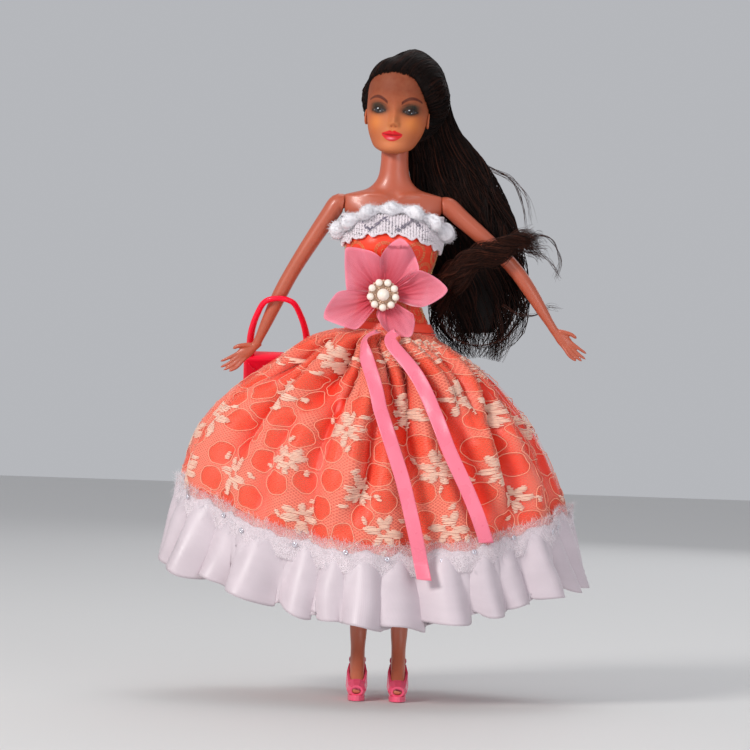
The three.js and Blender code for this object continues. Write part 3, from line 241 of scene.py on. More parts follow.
def smooth_path(points, count):
    """Evenly spaced points on a smooth curve through the given ones."""
    p = np.asarray(points, float)
    p = np.concatenate([[2 * p[0] - p[1]], p, [2 * p[-1] - p[-2]]])
    out = []
    for k in range(1, len(p) - 2):
        gaps = [max(np.linalg.norm(p[k + n] - p[k + n - 1]) ** 0.5, 1e-6) for n in (0, 1, 2)]
        m1 = gaps[1] * ((p[k] - p[k - 1]) / gaps[0] - (p[k + 1] - p[k - 1]) / (gaps[0] + gaps[1])
                        + (p[k + 1] - p[k]) / gaps[1])
        m2 = gaps[1] * ((p[k + 1] - p[k]) / gaps[1] - (p[k + 2] - p[k]) / (gaps[1] + gaps[2])
                        + (p[k + 2] - p[k + 1]) / gaps[2])
        t = np.linspace(0, 1, 24, endpoint=False)[:, None]
        out.append(p[k] * (2 * t ** 3 - 3 * t ** 2 + 1) + m1 * (t ** 3 - 2 * t ** 2 + t)
                   + p[k + 1] * (3 * t ** 2 - 2 * t ** 3) + m2 * (t ** 3 - t ** 2))
    line = np.concatenate([*out, p[-2:-1]])
    run = np.concatenate([[0], np.cumsum(np.linalg.norm(np.diff(line, axis=0), axis=1))])
    even = np.linspace(0, run[-1], count)
    return np.stack([np.interp(even, run, line[:, n]) for n in range(line.shape[1])], -1)


def path_at(path, share):
    """Points at shares of the length of an evenly stepped path."""
    steps = np.arange(len(path))
    return np.stack([np.interp(share * steps[-1], steps, path[:, n]) for n in range(path.shape[1])], -1)


def bell(distance, width):
    """One in the middle and falling off smoothly to both sides."""
    return np.exp(-((distance / width) ** 2))


def remeshed(obj, voxel):
    """Merges a piece's overlapping shells into one smooth skin."""
    remesh = obj.modifiers.new("merge", "REMESH")
    remesh.mode = "VOXEL"
    remesh.voxel_size = voxel * MM
    remesh.use_smooth_shade = True
    soften = obj.modifiers.new("soften", "SMOOTH")
    soften.iterations = 5
    soften.factor = 0.5
    mesh = bpy.data.meshes.new_from_object(obj.evaluated_get(bpy.context.evaluated_depsgraph_get()))
    obj.modifiers.clear()
    material = obj.data.materials[0]
    obj.data = mesh
    mesh.materials.clear()
    mesh.materials.append(material)
    mesh.polygons.foreach_set("use_smooth", np.ones(len(mesh.polygons), bool))


# Materials.


def linear(red, green, blue):
    """The scene's own values for a colour given as on a screen."""
    return tuple(c / 12.92 if c <= 0.04045 else ((c + 0.055) / 1.055) ** 2.4
                 for c in (red / 255, green / 255, blue / 255))


class Finish:
    """A material with one Principled shader and short ways to add its pattern nodes. Distances are millimetres."""

    def __init__(self, name, colour, roughness, **sockets):
        self.material = bpy.data.materials.new(name)
        self.material.use_nodes = True
        self.tree = self.material.node_tree
        self.shader = self.tree.nodes["Principled BSDF"]
        self.colour = linear(*colour)
        self.set("Base Color", (*self.colour, 1))
        self.set("Roughness", roughness)
        for key, value in sockets.items():
            self.set(key.replace("_", " "), value)
        self.height = None

    def set(self, socket, value):
        self.shader.inputs[socket].default_value = value

    def feed(self, socket, value):
        """Links a node's output to a socket, or sets a plain value."""
        if hasattr(value, "is_linked"):
            self.tree.links.new(value, socket)
        else:
            socket.default_value = value

    def node(self, kind, **inputs):
        made = self.tree.nodes.new(kind)
        for key, value in inputs.items():
            if key in made.bl_rna.properties:
                setattr(made, key, value)
            else:
                self.feed(made.inputs[key], value)
        return made

    def where(self, stretch=(1, 1, 1)):
        """Object coordinates in millimetres."""
        own = self.node("ShaderNodeTexCoord").outputs["Object"]
        return self.node("ShaderNodeMapping", Vector=own, Scale=[s / MM for s in stretch]).outputs[0]

    def fabric(self, stretch=(1, 1, 1)):
        """The cloth's own coordinates in millimetres, across and along."""
        own = self.node("ShaderNodeAttribute", attribute_name="fabric").outputs["Vector"]
        return self.node("ShaderNodeMapping", Vector=own, Scale=stretch).outputs[0]

    def tint(self, output="Color"):
        """The colour or the value that the piece's own points carry."""
        return self.node("ShaderNodeAttribute", attribute_name="tint").outputs[output]

    def noise(self, scale, detail=3.0, place=None):
        made = self.node("ShaderNodeTexNoise", Vector=place or self.where(), Scale=scale, Detail=detail)
        return made.outputs["Fac"]

    def wave(self, scale, place, distortion=0.0, direction="X"):
        made = self.node("ShaderNodeTexWave", Vector=place, Scale=scale, Distortion=distortion)
        made.bands_direction = direction
        return made.outputs["Fac"]

    def math(self, operation, first, second=0.0):
        made = self.node("ShaderNodeMath", operation=operation)
        for socket, value in zip(made.inputs, (first, second)):
            self.feed(socket, value)
        return made.outputs[0]

    def spread(self, value, low, high, to_low=0.0, to_high=1.0):
        made = self.node("ShaderNodeMapRange", Value=value)
        for name, number in zip(("From Min", "From Max", "To Min", "To Max"), (low, high, to_low, to_high)):
            made.inputs[name].default_value = number
        return made.outputs[0]

    def mix(self, share, first, second):
        """Two colours mixed by a share. The node's sockets 6 and 7 and its output 2 are the ones for colours."""
        made = self.node("ShaderNodeMix", data_type="RGBA")
        self.feed(made.inputs[0], share)
        for index, colour in ((6, first), (7, second)):
            self.feed(made.inputs[index], colour if hasattr(colour, "is_linked") else (*colour, 1))
        return made.outputs[2]

    def paint(self, colour):
        self.tree.links.new(colour, self.shader.inputs["Base Color"])

    def rough(self, value):
        self.tree.links.new(value, self.shader.inputs["Roughness"])

    def vary(self, factor, darker, lighter):
        """Mixes two shades of the base colour by a pattern."""
        dark = tuple(c * darker for c in self.colour)
        light = tuple(min(c * lighter, 1) for c in self.colour)
        self.paint(self.mix(factor, dark, light))

    def bump(self, height, distance, strength):
        made = self.node("ShaderNodeBump", Height=height, Strength=strength, Distance=distance * MM)
        if self.height is not None:
            self.tree.links.new(self.height, made.inputs["Normal"])
        self.height = made.outputs[0]
        self.tree.links.new(self.height, self.shader.inputs["Normal"])

    def alpha(self, value):
        self.tree.links.new(value, self.shader.inputs["Alpha"])


def plastic_skin(name, colour, roughness, coat):
    made = Finish(name, colour, roughness, Coat_Weight=coat, Coat_Roughness=0.12)
    made.set("Subsurface Weight", 0.12)
    made.set("Subsurface Radius", (0.004, 0.0015, 0.001))
    made.set("Subsurface Scale", 0.6)
    made.vary(made.noise(0.09, 2), 0.93, 1.06)
    made.rough(made.spread(made.noise(0.5, 3), 0.3, 0.7, roughness - 0.05, roughness + 0.06))
    made.bump(made.noise(1.6, 3), 0.02, 0.25)
    return made.material


skin = plastic_skin("hard_skin", (180, 88, 62), 0.4, 0.14)
leg_skin = plastic_skin("vinyl_leg_skin", (196, 110, 82), 0.36, 0.2)

face_finish = Finish("face_vinyl", (218, 140, 98), 0.6, Coat_Weight=0.02, Coat_Roughness=0.4)
face_finish.set("Specular IOR Level", 0.2)
face_finish.set("Subsurface Weight", 0.1)
face_finish.set("Subsurface Radius", (0.004, 0.0015, 0.001))
painted = face_finish.tint()
face_finish.paint(face_finish.mix(face_finish.spread(face_finish.noise(0.4, 3), 0.3, 0.7, 0.0, 0.12),
                                  painted, (0.45, 0.2, 0.1)))
face_finish.bump(face_finish.noise(1.8, 3), 0.02, 0.25)


hair_dark = Finish("hair_strands", (30, 20, 17), 0.5, Anisotropic=0.4)
hair_shade = hair_dark.tint()
hair_streaks = hair_dark.spread(hair_dark.noise(0.6, 2, hair_dark.where((1, 1, 0.2))), 0.35, 0.65, 0.0, 0.45)
hair_dark.paint(hair_dark.mix(hair_streaks, hair_shade, (0.012, 0.007, 0.006)))
hair_dark.set("Specular IOR Level", 0.09)


def satin(name, colour, roughness, sheen, fold_shade_colour=None):
    """Woven satin. With a second colour, its folds take that one as painted shade, by the tint that its points carry.
    """
    made = Finish(name, colour, roughness, Anisotropic=0.3, Sheen_Weight=sheen, Sheen_Roughness=0.4)
    place = made.fabric()
    across = made.wave(3.0, place, 0.4, "X")
    along = made.wave(0.93, place, 0.6, "Y")
    thread = made.math("MULTIPLY", made.math("ADD", across, along), 0.5)
    cloudy = made.noise(0.12, 3, place)
    pattern = made.math("ADD", made.math("MULTIPLY", thread, 0.35), made.math("MULTIPLY", cloudy, 0.65))
    if fold_shade_colour:
        # The same two shades of each colour as vary gives.
        shades = [made.mix(pattern, *(tuple(min(c * f, 1) for c in linear(*each)) for f in (0.8, 1.12)))
                  for each in (colour, fold_shade_colour)]
        made.paint(made.mix(made.tint("Fac"), *shades))
    else:
        made.vary(pattern, 0.8, 1.12)
    made.rough(made.spread(cloudy, 0.3, 0.7, roughness - 0.06, roughness + 0.08))
    made.bump(thread, 0.05, 0.35)
    made.bump(made.noise(0.22, 2, place), 0.35, 0.2)
    return made.material


# The second colour is painted shade for the deep folds of the skirt.
coral_satin = satin("coral_satin", (255, 64, 32), 0.3, 0.35, (255, 44, 12))
white_satin = satin("white_satin", (208, 194, 201), 0.42, 0.25)
pink_satin = satin("pink_satin", (250, 122, 146), 0.28, 0.3)

lace_thread = Finish("lace_thread", (252, 208, 186), 0.7, Sheen_Weight=0.3)
lace_thread.vary(lace_thread.noise(0.7, 3), 0.86, 1.06)
lace_thread.bump(lace_thread.noise(3.0, 2), 0.1, 0.5)
lace_cord = Finish("lace_cord", (253, 172, 142), 0.7, Sheen_Weight=0.3)
lace_cord.vary(lace_cord.noise(0.5, 3), 0.86, 1.1)

net = Finish("lace_net", (255, 176, 150), 0.8, Sheen_Weight=0.2)
net_place = net.fabric()
net_rows = net.wave(0.36, net_place, 0.8, "Y")
net_ways = [net.wave(0.42, way, 0.5, "DIAGONAL") for way in (net_place, net.fabric((-1, 1, 1)))]
thread_edge = net.spread(net.math("MAXIMUM", *net_ways), 0.55, 0.95)
# The net's points carry how dense it is in red and, in green, how deep in a fold it lies, where the net is made
# thinner as painted shade so that the satin's shaded folds show.
cover_and_fold_shade = net.node("ShaderNodeSeparateColor", Color=net.tint()).outputs
dense = cover_and_fold_shade["Red"]
net.paint(net.mix(dense, linear(255, 116, 86), linear(255, 146, 122)))
open_cover = net.spread(net.math("MAXIMUM", net.math("MULTIPLY", thread_edge, 0.8), net_rows), 0.2, 1.0, 0.08, 0.46)
dense_cover = net.spread(thread_edge, 0.0, 1.0, 0.3, 0.7)
covered = net.math("ADD", net.math("MULTIPLY", open_cover, net.math("SUBTRACT", 1.0, dense)),
                   net.math("MULTIPLY", dense_cover, dense))
net.alpha(net.math("MULTIPLY", covered, net.spread(cover_and_fold_shade["Green"], 0.0, 1.0, 1.0, 0.12)))
net.material.blend_method = "BLEND"

tulle = Finish("white_tulle", (250, 238, 243), 0.9, Sheen_Weight=0.3)
tulle_place = tulle.fabric()
tulle_cells = tulle.node("ShaderNodeTexVoronoi", Vector=tulle_place, Scale=1.5, feature="DISTANCE_TO_EDGE")
mesh_cover = tulle.spread(tulle_cells.outputs["Distance"], 0.05, 0.2, 0.7, 0.3)
below = tulle.node("ShaderNodeSeparateXYZ", Vector=tulle_place).outputs["Y"]
cloudy = tulle.math("MULTIPLY", tulle.spread(tulle.noise(0.25, 3, tulle_place), 0.3, 0.7, 0.7, 1.1),
                    tulle.spread(below, 0.5, 9.0, 0.25, 0.9))
tulle.alpha(tulle.math("MULTIPLY", mesh_cover, cloudy))
tulle.vary(tulle.noise(0.3, 3, tulle_place), 0.9, 1.05)

organza = Finish("organza", (244, 96, 124), 0.5, Sheen_Weight=0.6, Sheen_Roughness=0.35)
organza_weave = organza.wave(2.6, organza.where(), 0.5, "DIAGONAL")
organza.paint(organza.mix(organza.math("MULTIPLY", organza_weave, 0.14), organza.tint(), (0.95, 0.62, 0.66)))
organza.alpha(organza.spread(organza_weave, 0.0, 1.0, 0.62, 0.88))
organza.bump(organza_weave, 0.06, 0.5)

fluff = Finish("white_fluff", (236, 233, 238), 0.95, Sheen_Weight=0.3)
fluff.vary(fluff.noise(0.6, 3), 0.86, 1.06)
knit = Finish("white_knit", (255, 242, 249), 0.8, Sheen_Weight=0.8)
knit.vary(knit.noise(1.2, 3), 0.95, 1.0)
knit.bump(knit.wave(2.2, knit.where(), 1.0, "Z"), 0.15, 0.6)
silver = Finish("silver_thread", (122, 114, 132), 0.35, Metallic=0.6)
silver.vary(silver.noise(2.5, 2), 0.4, 1.7)
gold_thread = Finish("gold_thread", (255, 190, 128), 0.35, Metallic=0.3)
gold_thread.vary(gold_thread.noise(2.2, 2), 0.6, 1.3)
gold = Finish("gold_setting", (250, 214, 190), 0.3, Metallic=0.35)
gold.vary(gold.noise(0.8, 3), 0.75, 1.15)
gold.bump(gold.noise(1.5, 3), 0.05, 0.3)
pearl = Finish("pearl", (250, 236, 222), 0.16, Coat_Weight=0.8, Coat_Roughness=0.05)
pearl.set("Sheen Weight", 0.3)
pearl.vary(pearl.noise(0.5, 2), 0.9, 1.05)
bag_plastic = Finish("bag_plastic", (255, 10, 52), 0.4, Coat_Weight=0.12, Coat_Roughness=0.1)
bag_plastic.set("Specular IOR Level", 0.25)
bag_plastic.set("Subsurface Weight", 0.1)
bag_plastic.vary(bag_plastic.noise(0.08, 2), 0.9, 1.1)
bag_plastic.bump(bag_plastic.noise(0.9, 3), 0.06, 0.3)
shoe_plastic = Finish("shoe_plastic", (238, 86, 120), 0.25, Coat_Weight=0.5, Coat_Roughness=0.1)
shoe_plastic.vary(shoe_plastic.noise(0.1, 2), 0.92, 1.06)
shoe_plastic.bump(shoe_plastic.noise(1.2, 3), 0.03, 0.3)
hook_tape = Finish("hook_tape", (244, 239, 233), 0.95)
hook_tape.vary(hook_tape.noise(2.5, 2), 0.8, 1.05)
hook_tape.bump(hook_tape.noise(3.0, 2), 0.2, 0.8)
sequin = Finish("sequin", (226, 222, 232), 0.15, Metallic=0.6, Coat_Weight=0.6)
sequin.vary(sequin.noise(0.4, 2), 0.7, 1.2)
scalp = Finish("scalp_paint", (16, 10, 9), 0.6)
scalp.set("Specular IOR Level", 0.1)
scalp.vary(scalp.noise(1.2, 3), 0.6, 1.4)
scalp.bump(scalp.noise(1.5, 3), 0.3, 0.6)


# The torso, with the same sections as the CAD solid and a smooth neck.
HIP, HIP_TO_SHOULDER = 148.0, 70.8
SHOULDER = HIP + HIP_TO_SHOULDER
HIP_HALF, TORSO_DEPTH, SHOULDER_HALF = 18.0, 10.0, 21.5
torso_rows = [[HIP + share * HIP_TO_SHOULDER, w * HIP_HALF, f * TORSO_DEPTH, b * TORSO_DEPTH]
              for share, w, f, b in [
    [-0.1, 0.26, 0.5, 0.6], [-0.03, 0.6, 0.8, 0.9], [0.056, 0.89, 1, 1.2], [0.14, 1, 1.08, 1.3],
    [0.21, 0.98, 1.05, 1.25], [0.28, 0.85, 0.96, 1], [0.367, 0.71, 0.86, 0.82], [0.45, 0.755, 0.92, 0.84],
    [0.537, 0.87, 1.02, 0.9], [0.62, 0.98, 1.14, 0.96], [0.706, 1.07, 1.22, 1], [0.777, 1.1, 1.22, 1],
    [0.847, 1.08, 1.12, 0.98], [0.918, 1.1, 0.98, 0.92], [0.975, 1.24, 0.86, 0.84], [1.024, 1.24, 0.74, 0.72],
    [1.06, 0.95, 0.64, 0.64], [1.095, 0.58, 0.58, 0.6], [1.13, 0.36, 0.52, 0.54]]]


def torso_point(angle, height, offset=0.0):
    """A place on the torso's CAD surface or so far outside it. Angles start in front and grow towards her left."""
    angle, height = np.broadcast_arrays(np.asarray(angle, float), np.asarray(height, float))
    half, front, back = np.moveaxis(table(torso_rows, height), -1, 0)
    facing = np.cos(angle)
    x = (half + offset) * np.sin(angle)
    depth = np.where(facing > 0, front, back)
    reach, spread = 0.34 * HIP_HALF, 0.46 * HIP_HALF
    rise = bell(height - (HIP + 0.75 * HIP_TO_SHOULDER), reach)
    own = half * np.sin(angle)
    bust = bell(own - spread, reach) + bell(own + spread, reach)
    depth = depth + np.where(facing > 0, 0.34 * TORSO_DEPTH * rise * bust, 0)
    return np.stack([x, -(depth + offset) * facing, height], -1)


body_rows = torso_rows[:13] + [
    [213.0, 19.9, 9.8, 9.2], [217.0, 22.6, 8.7, 8.4], [220.5, 22.9, 7.8, 7.7], [222.6, 21.9, 7.2, 7.2],
    [223.9, 17.4, 6.8, 6.9], [225.4, 12.2, 6.4, 6.6], [228.2, 8.7, 6.1, 6.3], [231.7, 6.9, 5.9, 6.1],
    [237.0, 6.15, 5.8, 5.9], [243.0, 5.9, 5.6, 5.7], [247.0, 5.0, 5.0, 5.0]]


BUST_WIDE, BUST_APART, BUST_OUT = 6.1, 8.3, 3.4


def body_shell():
    """The torso and the neck, with more shape than the CAD's."""
    heights = np.concatenate([np.linspace(body_rows[0][0], 212, 60, endpoint=False),
                              np.linspace(212, 232, 70, endpoint=False), np.linspace(232, 247, 16)])
    angle, height = np.meshgrid(circle(160), heights)
    half, front, back = np.moveaxis(table(body_rows, height), -1, 0)
    facing = np.cos(angle)
    x = half * np.sin(angle)
    depth = np.where(facing > 0, front, back)
    rise = bell(height - (HIP + 0.75 * HIP_TO_SHOULDER), BUST_WIDE)
    bust = bell(x - BUST_APART, BUST_WIDE) + bell(x + BUST_APART, BUST_WIDE)
    front_share = np.clip(facing, 0, 1)
    depth = depth + BUST_OUT * rise * bust * (facing > 0)
    # Collarbones, the notch between them and the blades of the back.
    for side in (-1, 1):
        line = 222.0 + 0.13 * np.abs(x)
        bone = bell(height - line, 1.3) * np.clip((side * x - 1.6) / 3, 0, 1) * np.clip((17 - side * x) / 6, 0, 1)
        depth = depth + 0.75 * bone * front_share
        depth = depth + 0.8 * bell(side * x - 9, 4) * bell(height - 213, 5) * np.clip(-facing, 0, 1)
    depth = depth - 0.5 * bell(x, 2.2) * bell(height - 223.2, 1.8) * front_share
    points = np.stack([np.clip(x, -SHOULDER_HALF, SHOULDER_HALF), -depth * facing, height], -1)
    flat = np.concatenate([points.reshape(-1, 3), [points[0].mean(0)], [points[-1].mean(0)]])
    return flat, tube_faces(*points.shape[:2])


piece("body_shell", *body_shell(), skin, "body_and_gown", "hard_skin", ("torso_front", "torso_back"))


# Arms.
ARM_GAP = 0.3


def arm_route(side, upper_tilt, fore_tilt, hand_tilt, lean=0.0):
    """The line of a bent arm, from the tilts of its three parts below level and its lean forward, in degrees."""
    def step(start, length, tilt):
        return start + length * np.array([side * math.cos(math.radians(tilt)), 0, -math.sin(math.radians(tilt))])

    start = np.array([side * (SHOULDER_HALF + ARM_GAP), 0, SHOULDER])
    elbow = step(start, 42, upper_tilt)
    wrist = step(elbow, 33, fore_tilt)
    tip = step(wrist, 19.5, hand_tilt)
    turn_out = start + np.array([side * 2.4, 0, 0])
    deltoid = step(start, 8.8, upper_tilt * 0.75)
    return {"points": [start, turn_out, deltoid, elbow, wrist], "wrist": wrist, "tip": tip, "side": side,
            "lean": math.radians(lean)}


arm_rows = [[0, 4.0, 4.0], [0.04, 4.16, 4.16], [0.1, 4.3, 4.1], [0.2, 4.0, 3.85], [0.38, 3.7, 3.5],
            [0.54, 3.3, 3.3], [0.6, 3.3, 3.3], [0.7, 3.36, 3.2], [0.86, 2.6, 2.55], [0.95, 1.95, 2.0], [1, 1.8, 1.9]]


def limb(points, rows, count, sides, reference=(0, 1, 0)):
    """A closed skin round a smooth line, from rows of share and the two half widths."""
    line = smooth_path(points, count)
    radii = table(rows, np.linspace(0, 1, count))
    side = np.asarray(reference, float)
    across = unit(np.cross(unit(np.gradient(line, axis=0)), side))
    turn = circle(sides)
    ring = (side * np.cos(turn)[None, :, None] * radii[:, :1, None]
            + across[:, None] * np.sin(turn)[None, :, None] * radii[:, 1:2, None])
    points = (line[:, None] + ring).reshape(-1, 3)
    return np.concatenate([points, line[:1], line[-1:]]), tube_faces(count, sides)


def capsule(points, start, end):
    """A finger: a round tube that narrows at both ends, from its radius at its start and its end."""
    radii = np.interp(np.linspace(0, 1, 14), [0, 0.08, 0.5, 0.9, 0.97, 1],
                      [start * 0.6, start, (start + end) / 2 * 1.02, end, end * 0.72, end * 0.3])
    return tubes(smooth_path(points, 14)[None], radii[None], 12, reference=(0.12, 1, 0.3))


def arm_piece(name, route):
    """A bent arm with its peg, a palm, four fingers and a thumb, merged into one skin."""
    side, shoulder = route["side"], route["points"][0]
    parts = [limb(route["points"], arm_rows, 80, 28)]
    way = unit(route["tip"] - route["wrist"])
    across = np.cross(way, [0, 1, 0]) * side  # down and out, in the plane of the picture
    front = np.array([0, -1.0, 0])

    def at(forward, down, out):
        return route["wrist"] + way * forward + across * down + front * out

    palm = [at(-2, 0, 0), at(1, 0, 0), at(5, 0.1, 0.2), at(9.2, 0.3, 0.3)]
    parts.append(limb(palm, [[0, 1.6, 1.7], [0.3, 1.55, 2.1], [0.65, 1.5, 2.85], [0.9, 1.3, 2.8], [1, 0.9, 2.2]],
                      24, 20))
    for k, (reach, drop) in enumerate([(8.2, 0.5), (9.8, 0.1), (9.4, -0.1), (7.6, -0.4)]):
        low = (1.5 - k) * 1.34
        parts.append(capsule([at(6.5, low * 0.9, 0.2), at(9.0, low, 0.35 + 0.25 * k),
                              at(9.0 + reach * 0.5, low * 1.12 + drop, 0.9 + 0.5 * k),
                              at(9.0 + reach, low * 1.05 + drop * 1.6 + 0.8, 0.6 + 0.75 * k)],
                             0.92, 0.62))
    parts.append(capsule([at(1.5, 1.2, 0.4), at(4.0, 3.0, 0.9), at(6.4, 4.4, 1.1), at(9.2, 5.0, 0.9)], 1.2, 0.8))
    # The peg in the shoulder's socket.
    parts.append(limb([shoulder - [side * 3.0, 0, 0], shoulder + [side * 1.0, 0, 0]],
                      [[0, 2.3, 2.3], [1, 2.3, 2.3]], 4, 20))
    points, faces = joined(parts)
    turned = tipped(points - [0, 0, SHOULDER], route["lean"]) + [0, 0, SHOULDER]
    remeshed(piece(f"{name}_arm_skin", turned, faces, skin, f"arm_{name}", "hard_skin", (f"arm_{name}",)), 0.34)


arm_piece("right", arm_route(-1, 55.5, 66, 39, 8))
arm_piece("left", arm_route(1, 39, 55, 46))


# Legs and shoes.
LEG_HALF, FOOT_HALF, LEG_GAP_HALF = 6.2, 3.5, 5.0


def leg_piece(name, side):
    """A straight leg on tiptoe with its heel and the ball at its hip, merged into one skin."""
    ankle_x = side * (LEG_GAP_HALF + LEG_HALF * 0.65)
    hip_x = side * 11.2
    knee = HIP * 0.55
    route = [[hip_x, 0, HIP], [(hip_x + ankle_x) / 2, 0, (HIP + knee) / 2], [ankle_x, 0, knee],
             [ankle_x, 0.93, (knee + 25) / 2], [ankle_x, 0, 25], [ankle_x, -3.6, 15.5], [ankle_x, -12, 5.55],
             [ankle_x, -19, 4.33]]
    rows = [[0.035, 1, 1.32], [0.12, 1, 1.26], [0.22, 0.98, 1.14], [0.34, 0.86, 0.98], [0.42, 0.78, 0.86],
            [0.5, 0.76, 0.88], [0.6, 0.8, 0.92], [0.7, 0.7, 0.76], [0.78, 0.6, 0.62], [0.82, 0.52, 0.6]]
    foot = [[0.86, 0.92, 1.05], [0.9, 0.92, 0.95], [0.95, 1, 0.75], [0.985, 0.86, 0.55], [1, 0.5, 0.35]]
    leg_rows = [[0, LEG_HALF, 8.2]] + [[s, w * LEG_HALF, d * LEG_HALF] for s, w, d in rows]
    leg_rows += [[s, w * FOOT_HALF, d * FOOT_HALF] for s, w, d in foot]
    heel = lathe([[0.2, -3], [1.8, -2.6], [2.8, -1.2], [2.9, 0.4], [2.2, 2.2], [0.6, 3.0]], 24,
                 [ankle_x, 1.9, 17.5])
    ball = lathe([[0.4, -8.3], [4.5, -7], [7.0, -4.4], [8.3, 0], [7.0, 4.4], [4.5, 7], [0.4, 8.3]], 28,
                 [hip_x - side * 1.2, 0, HIP])
    points, faces = joined([limb(route, leg_rows, 120, 32, (1, 0, 0)), heel, ball])
    # The flat inner side that faces the other leg.
    points[points[:, 0] * side < LEG_GAP_HALF, 0] = side * LEG_GAP_HALF
    remeshed(piece(f"{name}_leg_skin", points, faces, leg_skin, f"leg_{name}", "vinyl_skin", (f"leg_{name}",)), 0.55)


for side, name in ((-1, "right"), (1, "left")):
    leg_piece(name, side)
    repainted(f"shoe_{name}", shoe_plastic)


# The bodice, its lace band, the fluffy trim and the waistband.
CLOTH_GAP, SATIN = 0.4, 0.8
BODICE_OUT = CLOTH_GAP + SATIN
BAND_IN = BODICE_OUT + CLOTH_GAP
BODICE_TOP, BAND_LOW, SEAM = 212.0, 200.0, 162.0


def satin_tube(name, low, high, rows, columns, inside, slit=0.0, wrinkles=None):
    """Satin round the torso between two heights. A slit leaves it open down the back."""
    shares = np.arange(columns) / (columns - 1 if slit else columns)
    height, share = np.meshgrid(np.linspace(low, high, rows), shares, indexing="ij")
    gap = slit / 2 / table(torso_rows, height)[..., 0]
    angle = -math.pi + gap + (2 * math.pi - 2 * gap) * share
    more = wrinkles(angle, height) if wrinkles else 0
    points, faces = closed_sheet(torso_point(angle, height, inside + SATIN + more),
                                 torso_point(angle, height, inside), not slit)
    return piece(f"satin_{name}", points, faces[:, ::-1], coral_satin, "body_and_gown", "coral_satin", (name,),
                 fabric=cloth_places(angle * 20, height))


def bodice_wrinkles(angle, height):
    pull = 0.28 * np.sin(height * 0.75 + 3 * np.sin(angle * 2)) * bell(np.abs(np.sin(angle)) - 1, 0.5)
    return pull * np.clip((height - 165) / 6, 0, 1)


bodice = satin_tube("bodice", SEAM - 4.6, BODICE_TOP, 110, 241, CLOTH_GAP, 2.0, bodice_wrinkles)
waist = satin_tube("waistband", SEAM + 0.3, SEAM + 4.2, 14, 240, BODICE_OUT + CLOTH_GAP)


# Skirt surfaces, as in the CAD, with finer gathers.
SKIRT_TOP_IN = BODICE_OUT + CLOTH_GAP + SATIN + 0.6
HALF_WIDE, HALF_DEEP = 83.0, 46.0


def hem_height(angle):
    """The skirt rises at her sides, and a little more on her right."""
    return 62 + 22 * np.sin(angle) ** 2 - 4 * np.sin(angle)


# Fine creases: place, slope, half width in radians, depth, and the shares of the drop where each starts and ends.
crease_rng = np.random.default_rng(23)
CREASES = [(crease_rng.uniform(0, 2 * math.pi), crease_rng.normal() * 0.16, crease_rng.uniform(0.014, 0.034),
            crease_rng.uniform(0.7, 1.9), crease_rng.uniform(0.0, 0.2), crease_rng.uniform(0.35, 1.0))
           for _ in range(62)]


# Chosen folds in front: turns in degrees and drops along each, its half width in radians and its depth.
FRONT_FOLDS = [
    ([[-46, 0.02], [-54, 0.08], [-58, 0.14], [-62, 0.24], [-64, 0.36]], 0.15, 8.0),
    ([[-17, 0.02], [-24, 0.12], [-28.5, 0.25], [-26, 0.42]], 0.1, 8.0),
    ([[0, 0.03], [5, 0.25], [8.5, 0.55]], 0.06, 5.5), ([[15, 0.05], [13, 0.3], [12, 0.6]], 0.045, 4.0),
    ([[20, 0.03], [27, 0.3], [30, 0.46], [34.5, 0.73], [39.5, 0.95]], 0.09, 8.5),
    ([[58, 0.06], [43, 0.5], [46, 0.95]], 0.05, -2.6), ([[64, 0.05], [50, 0.5], [53, 0.95]], 0.07, 5.5),
    ([[-5, 0.2], [-6, 0.6], [-12, 0.9]], 0.035, -2.2), ([[-1, 0.18], [-2, 0.6], [-7.5, 0.9]], 0.05, 4.0),
    ([[-42, 0.03], [-46, 0.3], [-51, 0.75]], 0.07, 4.5), ([[-32, 0.4], [-36, 0.75], [-36, 1]], 0.06, 3.0),
    ([[-10, 0.04], [-14, 0.2], [-17, 0.42]], 0.05, 4.5), ([[36, 0.03], [36, 0.2], [37, 0.5]], 0.05, 4.0)]


def turn_gap(angle, other):
    """The signed turn from one angle to another, the short way round."""
    return (angle - other + math.pi) % (2 * math.pi) - math.pi


